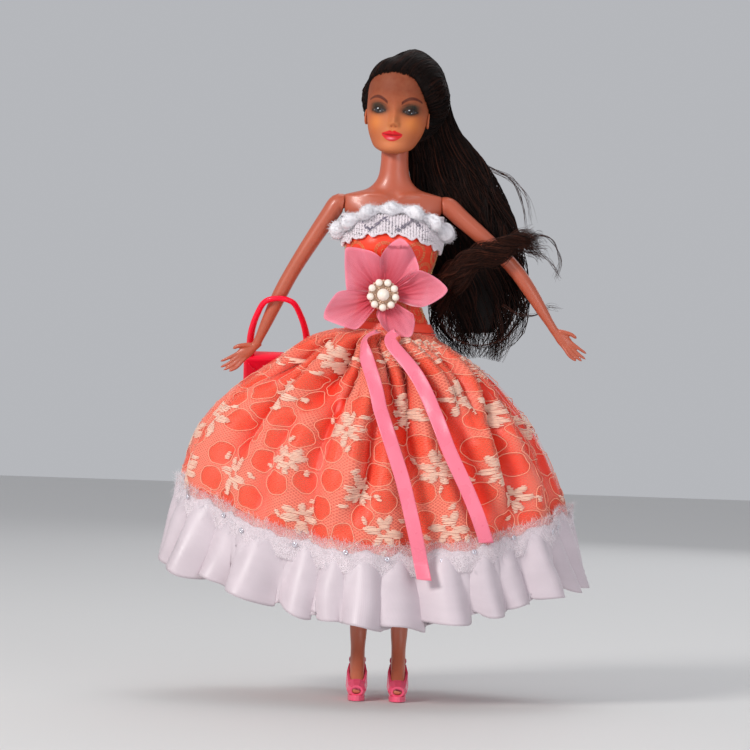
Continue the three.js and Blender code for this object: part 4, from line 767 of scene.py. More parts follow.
def relief_at(angle, drop):
    """Folds finer than the skirt's eleven main ones: deep valleys, gathers at the seam and long creases."""
    fold = np.cos(11 * angle + 0.6)
    depth = 4.4 + 1.6 * np.sin(3 * angle + 0.8) + 1.0 * np.sin(5 * angle + 2.0)
    valley = -np.maximum(-fold, 0) ** 2.4 * depth * np.clip(drop * 8, 0, 1) * (1 - 0.55 * drop)
    pleats = np.cos(47 * angle + 3 * np.sin(5 * angle)) * 0.6 + np.cos(34 * angle + 1.7) * 0.5
    rise = valley + pleats * 1.15 * np.clip(drop * 26, 0, 1) * np.exp(-drop / 0.17)
    for place, slope, width, deep, start, end in CREASES:
        gap = turn_gap(angle, place + slope * drop) / (width * (1 + 1.5 * drop))
        near = np.abs(gap) < 4
        if not np.any(near):
            continue
        share = np.clip((drop - start) / 0.08, 0, 1) * np.clip((end - drop) / 0.3, 0, 1)
        rise = rise - np.where(near, deep * np.exp(-gap ** 2) * share, 0)
        rise = rise + np.where(near, 0.35 * deep * np.exp(-(gap - 1.5) ** 2) * share, 0)
    for path, width, deep in FRONT_FOLDS:
        turns, drops = np.array(path).T
        gap = turn_gap(angle, np.radians(np.interp(drop, drops, turns))) / (width * (0.7 + 0.9 * drop))
        share = np.clip((drop - drops[0]) / 0.05, 0, 1) * np.clip((drops[-1] - drop) / 0.2 + 0.1, 0, 1)
        rise = rise - 1.2 * deep * np.exp(-gap ** 2) * share
        rise = rise + 0.25 * deep * np.exp(-(np.abs(gap) - 1.8) ** 2) * share
    # The skirt is less full on her left.
    rise = rise - 6.0 * np.maximum(np.sin(angle), 0) ** 3 * np.sin(math.pi * np.clip(drop, 0, 1) ** 0.8)
    dents = 0.8 * np.sin(19 * angle + 9 * drop) * np.sin(5 * drop + 2 * angle) * np.clip(drop * 3, 0, 1)
    return rise + dents


RELIEF_TURNS, RELIEF_DROPS = 1800, 160
relief_grid = relief_at(*np.meshgrid(circle(RELIEF_TURNS), np.linspace(0, 1, RELIEF_DROPS)))


def skirt_relief(angle, drop):
    """The same folds, looked up between the points of a fine grid."""
    across = (angle / (2 * math.pi) % 1) * RELIEF_TURNS
    down = np.clip(drop, 0, 1) * (RELIEF_DROPS - 1)
    a, d = np.floor(across).astype(int), np.minimum(np.floor(down).astype(int), RELIEF_DROPS - 2)
    u, v = across - a, down - d
    a, b = a % RELIEF_TURNS, (a + 1) % RELIEF_TURNS
    return ((relief_grid[d, a] * (1 - u) + relief_grid[d, b] * u) * (1 - v)
            + (relief_grid[d + 1, a] * (1 - u) + relief_grid[d + 1, b] * u) * v)


def skirt_point(angle, drop, detail=1.0):
    """A place on the skirt at an angle round her and a share of its drop, or without detail on its broad flutes."""
    angle, drop = np.broadcast_arrays(np.asarray(angle, float), np.asarray(drop, float))
    top = torso_point(angle, np.full_like(angle, SEAM), SKIRT_TOP_IN)
    flare = 1 - np.maximum(1 - drop, 0) ** 2.5
    x = top[..., 0] + (HALF_WIDE * np.sin(angle) - top[..., 0]) * flare
    y = top[..., 1] + (-HALF_DEEP * np.cos(angle) - top[..., 1]) * flare
    fold = np.cos(11 * angle + 0.6) + 0.35 * np.cos(7 * angle + 1)
    rise = fold * 2.2 * np.minimum(1, 4 * drop) * (0.4 + 0.6 * drop)
    if detail:
        rise = rise + detail * skirt_relief(angle, drop)
    x = x + np.sin(angle) * rise
    y = y - np.cos(angle) * rise
    puff = drop / 0.05
    x = x - 5 * flare * np.minimum(1, drop * 3) - 5 * puff * np.exp(1 - puff)
    z = SEAM - drop * (SEAM - hem_height(angle))
    return np.stack([x, y, z], -1)


def ruffle_point(angle, share, detail=1.0):
    """A place on the hem ruffle at an angle round her and a share of its height, from its seam down."""
    angle, share = np.broadcast_arrays(np.asarray(angle, float), np.asarray(share, float))
    # Cloth folded over on itself shows as a flute that leans sideways.
    phase = 31 * angle + 1.5 * np.sin(3 * angle) + 1.1 * np.sin(7 * angle + 1) - 3.4 * share * np.sin(angle)
    big = 0.75 + 0.25 * np.sin(5 * angle + 0.6) + 0.15 * np.sin(9 * angle)
    lean = 0.078 * detail * big * np.sin(phase) * np.clip(share * 1.8, 0, 1)
    turned = angle + lean
    hem = skirt_point(turned, np.ones_like(turned), 0.0)
    flute = np.cos(18 * turned) + 0.4 * np.cos(11 * turned + 2)
    out = 4 * share + 1.6 * flute * share ** 0.7
    crisp = np.cos(phase + 0.55 * np.sin(phase) + 0.3 * np.sin(2 * phase))
    out = out + detail * big * (5.8 * crisp + 1.1 * np.cos(2 * phase + 1)) * share ** 0.8
    out = out + detail * 0.35 * np.cos(94 * angle) * (1 - share) * np.clip(share * 8, 0, 1)
    small = np.cos(2.6 * phase + 4 * share + np.sin(13 * angle)) + 0.6 * np.cos(4.3 * phase - 6 * share)
    out = out + detail * 0.75 * small * share * (0.6 + 0.4 * np.sin(6 * angle + 2))
    # Behind, the flutes stay out of the way of her legs.
    behind = detail * np.clip((-np.cos(angle) - 0.7) / 0.15, 0, 1) * np.clip(share * 4, 0, 1)
    out = np.where(out < 3.6, 3.6 + (out - 3.6) * (1 - 0.9 * behind), out)
    hem[..., 0] += np.sin(turned) * out
    hem[..., 1] -= np.cos(turned) * out
    hem[..., 2] += 4 - share * 30 - 0.6 * flute * share
    hem[..., 2] -= detail * share * (3.4 * big * np.cos(phase - 0.7) + 0.7 * np.cos(2.3 * phase + 1))
    return hem


def off_surface(surface, angle, drop, offset):
    """Places on a surface moved out along its normal."""
    nudge = 0.004
    here = surface(angle, drop)
    normal = unit(np.cross(surface(angle, drop + nudge) - here, surface(angle + nudge, drop) - here))
    return here + normal * offset


def draped(name, surface, columns, drops, inside, thick, material, slot, node, scale=(62, 108), tint=None):
    """A closed cloth on a surface. The scale gives millimetres of cloth for each radian and for the whole drop."""
    angle, drop = np.meshgrid(circle(columns), drops)
    points, faces = closed_sheet(off_surface(surface, angle, drop, inside + thick),
                                 off_surface(surface, angle, drop, inside), True)
    return piece(name, points, faces, material, "body_and_gown", slot, (node,), tint=tint,
                 fabric=cloth_places(angle * scale[0], drop * scale[1]))


skirt_drops = np.concatenate([np.linspace(0, 0.2, 34, endpoint=False), np.linspace(0.2, 1, 56)])


def fold_shade_depth(angle, drop):
    """How much painted shade the folds take: nought on the ridges and one deep between the folds."""
    return np.clip(-skirt_relief(angle, drop) / 4.5 - 0.12, 0, 1)


SKIRT_COLUMNS, FLOUNCE_COLUMNS, SATIN_END = 520, 1100, 0.975
LAYER, NET, NET_IN, FLOUNCE_IN = 0.4, 0.25, 1.2, 2.3
satin_drops = skirt_drops[skirt_drops < SATIN_END]
# The underskirt's points carry the painted shade of its folds as their tint.
depth = fold_shade_depth(*np.meshgrid(circle(SKIRT_COLUMNS), satin_drops))
underskirt = draped("satin_underskirt", skirt_point, SKIRT_COLUMNS, satin_drops, 0, LAYER, coral_satin, "coral_satin",
                    "underskirt", tint=both_faces(np.stack([depth] * 3, -1)))
flounce = draped("satin_flounce", ruffle_point, FLOUNCE_COLUMNS, np.linspace(0, 1, 28), FLOUNCE_IN, LAYER,
                 white_satin, "white_satin", "hem_ruffle", (70, 31))


# The lace: flowers filled with short level threads, and windows of open net inside thin cords.
LACE_OUT = 1.5
# The front flowers, as turns in degrees and shares of the drop.
front_flowers = [[-43.5, 0.345], [-10.5, 0.44], [-29, 0.615], [-49, 0.765], [-22.5, 0.86], [-4.5, 0.7], [3.5, 0.865],
                 [44.5, 0.635], [55, 0.39], [-69, 0.52], [11.5, 0.1], [42, 0.08], [37, 0.305], [53.5, 0.8],
                 [21, 0.6], [24, 0.86], [-30, 0.14], [-74, 0.84]]


def surface_steps(angle, drop):
    """Millimetres of cloth for each radian of turn and for the whole drop, at a place on the skirt."""
    nudge = 0.01
    here = skirt_point(angle, drop, 0.0)
    around = np.linalg.norm(skirt_point(angle + nudge, drop, 0.0) - here, axis=-1) / nudge
    down = np.linalg.norm(skirt_point(angle, drop + nudge, 0.0) - here, axis=-1) / nudge
    return around, down


def on_skirt(angle, drop, across, along, lift):
    """Points at small distances across and along the cloth from a place on the skirt."""
    around, down = surface_steps(angle, drop)
    return off_surface(skirt_point, angle + across / around, np.clip(drop + along / down, 0.001, 1.02), lift)


def nearest(here, others):
    """Millimetres from a point to the closest of some others."""
    return np.min(np.linalg.norm(np.reshape(others, (-1, 3)) - here, axis=1), initial=math.inf)


def scattered(start, count, low, high, apart, others=(), clear=0.0):
    """Places on the skirt at least so far apart, and clear of other places."""
    chosen = [list(place) for place in start]
    where = [skirt_point(a, d, 0.0) for a, d in chosen]
    blocked = [skirt_point(a, d, 0.0) for a, d in others]
    for angle, drop in zip(rng.uniform(0, 2 * math.pi, count), rng.uniform(low, high, count)):
        here = skirt_point(angle, drop, 0.0)
        if nearest(here, where) >= apart and nearest(here, blocked) >= clear:
            chosen.append([angle, drop])
            where.append(here)
    return chosen


def thread_rows(inside, half):
    """Level runs of thread that fill a flat shape, ragged at their ends: start, end and height."""
    rows = []
    xs = np.arange(-half, half, 0.12)
    for z in np.arange(-half, half, 0.58):
        held = np.concatenate([[False], inside(xs, np.full_like(xs, z)), [False]])
        starts = np.nonzero(held[1:] & ~held[:-1])[0]
        ends = np.nonzero(held[:-1] & ~held[1:])[0] - 1
        for a, b in zip(starts, ends):
            left, right = xs[a] - 0.1 + 0.22 * rng.normal(), xs[b] + 0.1 + 0.22 * rng.normal()
            if right - left > 0.5:
                rows.append([left, right, z + 0.05 * rng.normal()])
    return rows


def flower_shape(petals, size, turn):
    """Whether places across and along lie inside a flower with an open middle."""
    def inside(x, z):
        reach = np.hypot(x, z)
        held = reach < size * 0.38
        for k in range(petals):
            way = turn + (k + 0.18 * math.sin(turn * 5 + 2.6 * k)) / petals * 2 * math.pi
            grown = size * (1 + 0.13 * math.sin(turn * 7 + 1.9 * k))
            along = x * math.cos(way) + z * math.sin(way) - grown * 0.62
            across = -x * math.sin(way) + z * math.cos(way)
            held = held | ((along / (grown * 0.42)) ** 2 + (across / (grown * 0.215)) ** 2 < 1)
        return held & (reach > size * 0.19)
    return inside


def leaf_shape(long, wide, turn):
    def inside(x, z):
        along, across = x * math.cos(turn) + z * math.sin(turn), -x * math.sin(turn) + z * math.cos(turn)
        return (along / long) ** 2 + (across / wide) ** 2 < 1
    return inside


def filled(places):
    """Threads on the skirt from rows of place, start, end and height."""
    rows = np.array(places)
    s = np.linspace(0, 1, 5)[None]
    x = rows[:, 2:3] + (rows[:, 3:4] - rows[:, 2:3]) * s
    z = rows[:, 4:5] + 0.05 * np.sin(s * 9 + rows[:, 4:5] * 7)
    paths = on_skirt(rows[:, :1], rows[:, 1:2], x, z, LACE_OUT + 0.15)
    return tubes(paths, 0.27 * np.array([0.7, 1, 1, 1, 0.7]), 4, reference=UPRIGHT)


# Flowers first, then six windows round each where there is room, and then windows in what is left.
FLOWERS_APART, FLOWER_TO_WINDOW, RING_APART, WINDOWS_APART = 23.0, 10.0, 9.6, 9.4
RING_ACROSS, RING_ALONG = 11.9, 11.4
WINDOW_TOP, WINDOW_LOW = 0.03, 0.97
flower_places = scattered([[math.radians(a), d] for a, d in front_flowers], 3000, 0.06, 0.93, FLOWERS_APART)
flower_points = [skirt_point(a, d, 0.0) for a, d in flower_places]
windows, window_points = [], []
for n, (angle, drop) in enumerate(flower_places):
    around, down = surface_steps(np.array(angle), np.array(drop))
    for k in range(6):
        way = n * 0.9 + k / 6 * 2 * math.pi
        spot = [angle + RING_ACROSS * math.cos(way) / around, drop + RING_ALONG * math.sin(way) / down]
        here = skirt_point(*spot, 0.0)
        free = nearest(here, window_points) >= RING_APART and nearest(here, flower_points) >= FLOWER_TO_WINDOW
        if free and WINDOW_TOP < spot[1] < WINDOW_LOW:
            windows.append(spot)
            window_points.append(here)
windows = scattered(windows, 7000, WINDOW_TOP, WINDOW_LOW, WINDOWS_APART, flower_places, FLOWER_TO_WINDOW)
TURNS = np.linspace(0, 2 * math.pi, 48, endpoint=False)


def local_gaps(angle, drop, places):
    """Millimetres across and along the cloth from one place to others."""
    around, down = surface_steps(np.array(angle), np.array(drop))
    places = np.array(places)
    return np.stack([turn_gap(places[:, 0], angle) * around, (places[:, 1] - drop) * down], -1)


def window_outline(number):
    """How far a window reaches in each direction of FULL_TURN: up to its neighbours, with round corners."""
    angle, drop = windows[number]
    own = local_gaps(angle, drop, windows[:number] + windows[number + 1:])
    gaps = np.concatenate([own, local_gaps(angle, drop, flower_places)])
    far = np.linalg.norm(gaps, axis=1)
    edge = np.concatenate([np.linalg.norm(own, axis=1) / 2 - 0.8, far[len(own):] - 6.7])
    near = far < 18
    gaps, far, edge = gaps[near], far[near], edge[near]
    toward = (gaps[:, :1] * np.cos(TURNS) + gaps[:, 1:] * np.sin(TURNS)) / far[:, None]
    reach = np.where(toward > 0.15, edge[:, None] / np.maximum(toward, 0.15), 99).min(0, initial=5.3)
    for _ in range(3):
        reach = np.minimum(reach, (np.roll(reach, 1) + np.roll(reach, -1) + reach) / 3 + 0.05)
        reach = (np.roll(reach, 1) + np.roll(reach, -1) + 2 * reach) / 4
    reach = reach * (1 + 0.05 * np.sin(3 * TURNS + number) + 0.04 * np.sin(5 * TURNS + 2 * number))
    reach = np.clip(reach, 2.2, 5.4)
    return np.append(reach, reach[0])


window_reach = [window_outline(n) for n in range(len(windows))]
FULL_TURN = np.append(TURNS, 2 * math.pi)


def lace_cover(angle, drop):
    """Nought in the open windows and one in the dense net between them."""
    angle, drop = angle.ravel(), drop.ravel()
    around, down = surface_steps(angle, drop)
    cover = np.ones(angle.shape)
    for (a, d), reach in zip(windows, window_reach):
        across, along = turn_gap(angle, a) * around, (drop - d) * down
        near = np.nonzero((np.abs(across) < 8) & (np.abs(along) < 8))[0]
        way = np.arctan2(along[near], across[near]) % (2 * math.pi)
        gap = np.hypot(across[near], along[near]) - np.interp(way, FULL_TURN, reach)
        cover[near] = np.minimum(cover[near], np.clip(gap / 0.9 + 0.6, 0, 1))
    return cover


angle, drop = np.meshgrid(circle(SKIRT_COLUMNS), skirt_drops)
cover = lace_cover(angle, drop) * np.clip(0.6 + 1.5 * drop.ravel(), 0, 1)
# Green is the painted shade of the folds, which thins the net there.
cover = np.stack([cover, fold_shade_depth(angle, drop).ravel(), 0 * cover], -1)
overskirt = draped("lace_net_overskirt", skirt_point, SKIRT_COLUMNS, skirt_drops, NET_IN, NET, net.material,
                   "coral_lace", "lace_overskirt", tint=both_faces(cover))


def lace_pieces():
    """The threads of the flowers, in two pieces, and of the leaves, and the cords round the windows."""
    flowers, leaves, cords = [], [], []
    for n, (angle, drop) in enumerate(flower_places):
        size = 7.1 + 0.5 * math.sin(n * 2.3)
        shape = flower_shape(6 + n % 3, size, n * 0.7)
        flowers += [[angle, drop, *row] for row in thread_rows(shape, 9.0)]
        around, down = surface_steps(np.array(angle), np.array(drop))
        for leaf in range(3):
            way = n * 1.3 + leaf * 2.1
            spot = [angle + 9.3 * math.cos(way) / around, drop + 9.0 * math.sin(way) / down]
            if 0.02 < spot[1] < 0.98:
                shape = leaf_shape(1.7, 0.95, way + 0.8)
                leaves += [[*spot, *row] for row in thread_rows(shape, 2.2)]
    for (angle, drop), reach in zip(windows, window_reach):
        cords.append(on_skirt(angle, drop, reach * np.cos(FULL_TURN), reach * np.sin(FULL_TURN), LACE_OUT + 0.1))
    half = len(flowers) // 2
    return [("flowers_1", filled(flowers[:half]), lace_thread), ("flowers_2", filled(flowers[half:]), lace_thread),
            ("leaves", filled(leaves), lace_thread), ("cords", tubes(np.array(cords), 0.17, 4, 0.6), lace_cord)]


lace = [piece(f"lace_{name}", *some, finish.material, "body_and_gown", "coral_lace")
        for name, some, finish in lace_pieces()]


# The tulle band over the top of the flounce, its loose threads and its sequins.
def tulle_point(angle, share):
    share = np.asarray(share, float)
    base = skirt_point(angle, np.ones_like(angle), 0.0)
    small = np.cos(43 * angle + 2 * np.sin(7 * angle)) + 0.6 * np.cos(29 * angle)
    out = 3.2 + 1.0 * np.sin(math.pi * share) + 0.35 * small * (0.2 + share)
    points = base.copy()
    points[..., 0] += np.sin(angle) * out
    points[..., 1] -= np.cos(angle) * out
    points[..., 2] += 8.0 - 14 * share + 0.4 * small * (share - 0.5)
    return points


angle, share = np.meshgrid(circle(900), np.linspace(0, 1, 12))
points, faces = closed_sheet(tulle_point(angle, share), off_surface(tulle_point, angle, share, -0.15), True)
tulle_band = piece("tulle_band", points, faces, tulle.material, "body_and_gown", "white_satin",
                   fabric=cloth_places(angle * 75, share * 14))


def fine_threads(root, way, length, radius, taper):
    """Short thin threads from their roots, each bent its own way."""
    share = np.linspace(0, 1, 4)
    t = share[None, :, None]
    curl = rng.normal(size=(len(root), 1, 3)) * 0.5
    paths = root[:, None] + unit(way)[:, None] * length[:, None, None] * t + curl * t * t
    return tubes(paths, radius * (1 - taper * share), 3)


def fringe(count):
    angles = rng.random(count) * 2 * math.pi
    start = rng.random(count) ** 2.4 * 0.95
    base = tulle_point(angles, start)
    outward = np.stack([np.sin(angles), -np.cos(angles), np.zeros(count)], -1)
    up = np.where(start < 0.3, 0.8, -0.5)
    length = 0.9 + 1.9 * rng.random(count)
    lean = rng.normal(size=(count, 3)) * 0.45
    way = outward * 0.2 + np.stack([np.zeros(count), np.zeros(count), up], -1) + lean
    return fine_threads(base + outward * 0.1, way, length, 0.055, 0.6)


fuzz = piece("tulle_threads", *fringe(5200), fluff.material, "body_and_gown", "white_satin")


def disc(radius, hole, thick, sides=24):
    """A sequin: a flat ring that rises a little towards its middle."""
    turn = circle(sides)
    rings = [np.stack([r * np.cos(turn), np.full(sides, y), r * np.sin(turn)], -1) for r, y in (
        (hole, 0), (hole, -thick), (radius * 0.5, -thick * 1.6), (radius, -thick * 0.8), (radius, 0))]
    return np.concatenate(rings), loop_faces(len(rings), sides)


def sequins():
    parts = []
    shape, faces = disc(1.15, 0.3, 0.16)
    count = 26
    for k in range(count):
        angle = np.array((k + 0.35 + 0.2 * math.sin(k * 2.1)) / count * 2 * math.pi)
        share = np.array(0.42 + 0.12 * math.sin(k * 1.7))
        centre = tulle_point(angle, share)
        out = unit(np.array([math.sin(angle), -math.cos(angle), 0.15 * math.sin(k)]))
        right = unit(np.cross(out, [0, 0, 1.0]))
        up = np.cross(right, out)
        moved = centre + out * 0.5 + shape[:, :1] * right - shape[:, 1:2] * out + shape[:, 2:] * up
        parts.append((moved, faces))
    return joined(parts)


sequin_piece = piece("hem_sequins", *sequins(), sequin.material, "body_and_gown", "pearl")


# The white band, its zigzag thread and the fluffy trim.
def band_foot(angle):
    """The scalloped lower edge of the knitted band, higher in front than at her sides."""
    facing = np.clip(np.cos(angle), 0, 1)
    foot = BAND_LOW - 0.4 + 5.6 * facing ** 2 - 1.2 * np.sin(angle)
    return foot - 0.7 * np.cos(18 * angle) - 0.4 * np.cos(31 * angle)


def knit_band(columns=100, steps=30):
    """The band's ribs and the rolled threads along its foot."""
    lines = []
    for k in range(columns):
        angle = -math.pi + (k + 0.5) / columns * 2 * math.pi
        group = 0.5 + 0.5 * math.cos(angle * 9)
        heights = np.linspace(float(band_foot(np.array(angle))), BODICE_TOP + 1.5, steps)
        out = BAND_IN + 0.7 + 0.8 * group * np.sin(np.linspace(0, math.pi, steps)) + 0.16 * (np.arange(steps) % 2)
        turn = angle + 0.012 * np.sin(np.arange(steps) * 1.3 + k)
        lines.append(torso_point(turn, heights, out))
    ribs = tubes(np.array(lines), 0.66 + 0.08 * (np.arange(steps) % 2), 6, reference=UPRIGHT)
    round_her = np.linspace(0, 2 * math.pi, 700)
    edges = []
    for way in (-1, 1):
        height = band_foot(round_her) + 0.25 * way * np.sin(round_her * 100)
        edges.append(torso_point(round_her, height, BAND_IN + 1.0 + 0.25 * way * np.cos(round_her * 100)))
    return joined([ribs, tubes(np.array(edges), 0.38, 6)])


band = piece("knit_ribs", *knit_band(), knit.material, "body_and_gown", "white_knit")
angle, share = np.meshgrid(circle(300), np.linspace(0, 1, 12))
height = band_foot(angle) + 0.8 + (BODICE_TOP - band_foot(angle) - 0.8) * share
points, faces = closed_sheet(*(torso_point(angle, height, BAND_IN + out) for out in (0.4, -0.1)), True)
band_back = piece("knit_band", points, faces[:, ::-1], knit.material, "body_and_gown", "white_knit", ("lace_band",),
                  fabric=cloth_places(angle * 20, height))


def zigzag(peaks=11, stitches=13):
    """Short stitches of dark silver thread that follow points round the band."""
    lines = []
    for k in range(peaks):
        for side in (-1, 1):
            for n in range(stitches):
                for rise in (0.5, -0.7):
                    t = (n + 0.15 + 0.5 * rng.random()) / stitches
                    peak = k / peaks * 2 * math.pi - 0.163
                    angle = peak + side * t * math.pi / peaks + rng.normal() * 0.016
                    height = 212.4 - 5.6 * t + rng.normal() * 0.4
                    # There are none on her back.
                    if math.cos(angle) < -0.1:
                        continue
                    long = 0.5 + 0.5 * rng.random()
                    s = np.linspace(-long, long, 4)
                    lines.append(torso_point(angle + side * 0.03 * s, height + rise * s, BAND_IN + 1.95))
    return tubes(np.array(lines), 0.13, 4, reference=UPRIGHT)


zigzag_piece = piece("silver_zigzag", *zigzag(), silver.material, "body_and_gown", "white_knit")


def trim_centre(angle):
    """The middle and the thickness of the trim's roll at each angle round her."""
    sideways = np.sin(angle) ** 2
    behind = np.clip(-np.cos(angle) * 6 + 0.5, 0, 1)
    height = 216.5 - 10.5 * np.maximum(sideways, behind)
    thin = 0.8 + 0.2 * sideways ** 2 - 0.18 * behind
    radius = 4.5 * thin * (0.82 + 0.2 * np.cos(15 * angle + 0.5))
    seat = np.where(height < BODICE_TOP + radius, BAND_IN + 0.9, 0.0)
    return torso_point(angle, height, seat + CLOTH_GAP + radius * (0.9 - 0.35 * sideways ** 2)), radius


def fluffy_trim(steps=360, sides=28):
    """The trim's lumpy roll, which the fibres stand on."""
    angle, turn = circle(steps), circle(sides)
    centre, radius = trim_centre(angle)
    out = np.stack([np.sin(angle), -np.cos(angle), np.zeros(steps)], -1)
    lumps = 1 + 0.07 * np.sin(angle[:, None] * 40 + 3 * turn) + 0.05 * np.sin(turn * 4 + angle[:, None] * 23)
    reach = (radius[:, None] - 0.7) * lumps
    ring = centre[:, None] + out[:, None] * (reach * np.cos(turn))[..., None]
    ring[..., 2] += reach * np.sin(turn)
    return ring.reshape(-1, 3), loop_faces(steps, sides)


def trim_fibres(count):
    a = rng.random(count) * 2 * math.pi
    t = rng.random(count) * 2 * math.pi
    middle, size = trim_centre(a)
    outward = np.stack([np.sin(a) * np.cos(t), -np.cos(a) * np.cos(t), np.sin(t)], -1)
    root = middle + outward * (size[:, None] - 1.0)
    length = 0.6 + 0.5 * rng.random(count)
    way = outward + rng.normal(size=(count, 3)) * 0.6
    return fine_threads(root, way, length, 0.085, 0.5)


trim = piece("fluffy_trim", *fluffy_trim(), fluff.material, "body_and_gown", "white_fluff", ("fur_trim",))
for number in (1, 2):
    piece(f"fluffy_fibres_{number}", *trim_fibres(7500), fluff.material, "body_and_gown", "white_fluff")


# Golden thread arcs embroidered on the bodice.
def gold_arcs(across=9):
    """Rows of rings of short stitches round the bodice, the odd rows moved on by half a ring."""
    lines = []
    for row, height in enumerate((197.0, 188.5, 180.0, 171.5)):
        half = table(torso_rows, np.array(height))[0] + BODICE_OUT
        for k in range(across):
            middle = -math.pi + (k + 0.5 * (row % 2) + 0.3) / across * 2 * math.pi
            for radius in (4.8, 4.3, 3.8, 1.7):
                stitches = int(radius * 6)
                for dash in range(stitches):
                    turn = (dash + np.linspace(0.1, 0.6, 4) + 0.3 * rng.random()) / stitches * 2 * math.pi
                    angle = middle + radius * np.cos(turn) / half
                    lines.append(torso_point(angle, height + radius * np.sin(turn), BODICE_OUT + 0.3))
    return tubes(np.array(lines), 0.13, 3, reference=UPRIGHT)


piece("gold_thread_arcs", *gold_arcs(), gold_thread.material, "body_and_gown", "coral_satin")


# The flower's petals: each outline as [across, up] from the middle of the brooch, and how far it cups forward.
FLOWER_X, FLOWER_UP = -3.1, 178.3
petal_outlines = [
    ([[0.6, 7], [0.2, 12], [-1.6, 16.1], [-5.5, 18.6], [-9.3, 19.6], [-14, 20.2], [-17.6, 19.7], [-17.9, 15],
      [-17.4, 9], [-16.5, 3], [-15.5, 0.2], [-9, 0.4], [-4, 0.2]], 0.42),
    ([[-0.8, 5], [-1.8, 11], [-1.6, 16.5], [0.8, 20.5], [4.2, 23.6], [7.3, 24.9], [10.2, 23], [12.7, 19.7],
      [14.6, 15.5], [15.4, 11], [12, 7.4], [7, 3.8]], 0.5),
    ([[5, 4.5], [10, 8.6], [15, 11.2], [18, 10.6], [21, 9.3], [25.4, 6.4], [28.3, 2.9], [26.8, 0.4],
      [23.9, -1.8], [20.5, -3.7], [17.1, -4.9], [12, -4.4], [7.5, -2.9]], 0.55),
    ([[-6, 1.5], [-13, 1.6], [-19.7, 0.4], [-22.8, -3.6], [-25.4, -9.3], [-25.2, -12.1], [-22, -13.4],
      [-18.7, -14.4], [-15, -15.3], [-11.4, -15.7], [-8, -12.6], [-5, -8.2], [-2.4, -4.4]], 0.6),
    ([[-1.4, -4.6], [-2.8, -8], [-1.2, -12], [1, -15.2], [5.2, -17.8], [9, -18.3], [12.6, -18], [14, -14.2],
      [14.2, -10.3], [12.8, -7.2], [9, -6.2], [5, -4.4]], 0.28)]


def inside_radius(outline, way):
    """How far a ray from the middle reaches before it leaves an outline."""
    best = 0.0
    for a, b in zip(outline, np.roll(outline, -1, axis=0)):
        edge = b - a
        cross = way[0] * edge[1] - way[1] * edge[0]
        if abs(cross) < 1e-9:
            continue
        distance = (a[0] * edge[1] - a[1] * edge[0]) / cross
        along = (a[0] * way[1] - a[1] * way[0]) / cross
        if -1e-6 <= along <= 1 + 1e-6 and distance > best:
            best = distance
    return best


def gown_front(x, height):
    """The front of the gown's upper part, with the thickness of what it carries there."""
    band = height > BAND_LOW - 0.5
    outside = np.where(band, BAND_IN + 1.9, BODICE_OUT + 0.2)
    half = table(torso_rows, height)[..., 0] + outside
    angle = np.arcsin(np.clip(x / half, -1, 1))
    return torso_point(angle, height, outside)[..., 1]


def petal(number, outline, lift):
    outline = np.asarray(outline, float)
    closed = smooth_path(np.concatenate([outline, outline[:1]]), 200)
    turns = np.unwrap(np.arctan2(outline[:, 1], outline[:, 0]))
    angles = np.linspace(turns.min() + 0.02, turns.max() - 0.02, 84)
    reach = np.maximum([inside_radius(closed, (math.cos(a), math.sin(a))) for a in angles], 3.5)
    share = np.linspace(0, 1, 34)[:, None]
    radius = 1.6 + (reach[None] - 1.6) * share
    across = np.linspace(-1, 1, len(angles))[None]
    bend = 0.03 * np.sin(share * 5 + number * 2) * (1 - across ** 2)
    x = FLOWER_X + radius * np.cos(angles[None] + bend)
    z = FLOWER_UP + radius * np.sin(angles[None] + bend)
    # Each petal lies in front of the one before it.
    base = gown_front(np.array(FLOWER_X), np.array(FLOWER_UP)) - 0.6 - number * 0.8
    gathers = 0.42 * np.cos(across * 13 + number) + 0.22 * np.cos(across * 26 + 2 * number)
    gathers = gathers * (1 - share) ** 0.9 * np.minimum(share * 7, 1)
    soft = (0.6 * np.cos(across * 4.4 + number * 2) + 0.3 * np.cos(across * 8 - number)) * share
    cup = (9.5 * lift * share ** 1.5) * (0.6 + 0.4 * across ** 2) + gathers + soft
    y = np.minimum(base - cup, gown_front(x, z) - 0.8 - number * 0.8)
    curl = (2.2 if number == 4 else 1.1) * np.sin(across * 7 + number * 1.4) * share ** 4
    points, faces = closed_sheet(*(np.stack([x, y - curl + half, z], -1) for half in (-0.09, 0.09)))
    # Deeper toward the middle, where the layers overlap and painted shade lies in the throat, with painted shade
    # along the gathers, and paler at the folded edges.
    deep, pale = np.array(linear(214, 30, 64)), np.array(linear(238, 122, 144))
    gather_shading = 0.1 * np.cos(across * 26 + 2 * number) * (1 - 0.6 * share) + 0.05 * np.cos(across * 61) * (1 - share)
    overlap_and_shade = np.clip(share * 1.6 - 0.42 + gather_shading + 0.15 * np.cos(across * 3 + number), 0, 1)
    edge = np.maximum(bell(np.abs(across) - 1, 0.05), bell(share - 1, 0.045)) * 0.5
    tint = np.clip((deep + (pale - deep) * overlap_and_shade[..., None]) * (1 + edge[..., None]), 0, 1)
    return piece(f"organza_petal_{number + 1}", points, faces, organza.material, "body_and_gown", "organza",
                 (f"petal_{number + 1}",), tint=both_faces(tint))


petals = [petal(n, outline, lift) for n, (outline, lift) in enumerate(petal_outlines)]


# The brooch: pearls of the CAD's size and place, in finer goldwork.
for name in ["centre_pearl"] + [f"ring_pearl_{k}" for k in range(1, 10)]:
    low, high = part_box(name)
    centre = (np.array(low) + np.array(high)) / 2 / MM + [0, 0, WAIST]
    radius = (high[0] - low[0]) / 2 / MM
    u = np.linspace(-math.pi / 2, math.pi / 2, 24)
    profile = [[max(radius * math.cos(a), 0.01), radius * math.sin(a)] for a in u]
    piece(f"{name}_bead", *lathe(profile, 36, centre), pearl.material, "body_and_gown", "pearl", (name,))
low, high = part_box("brooch_setting")
front, back = float(low[1]) / MM, float(high[1]) / MM


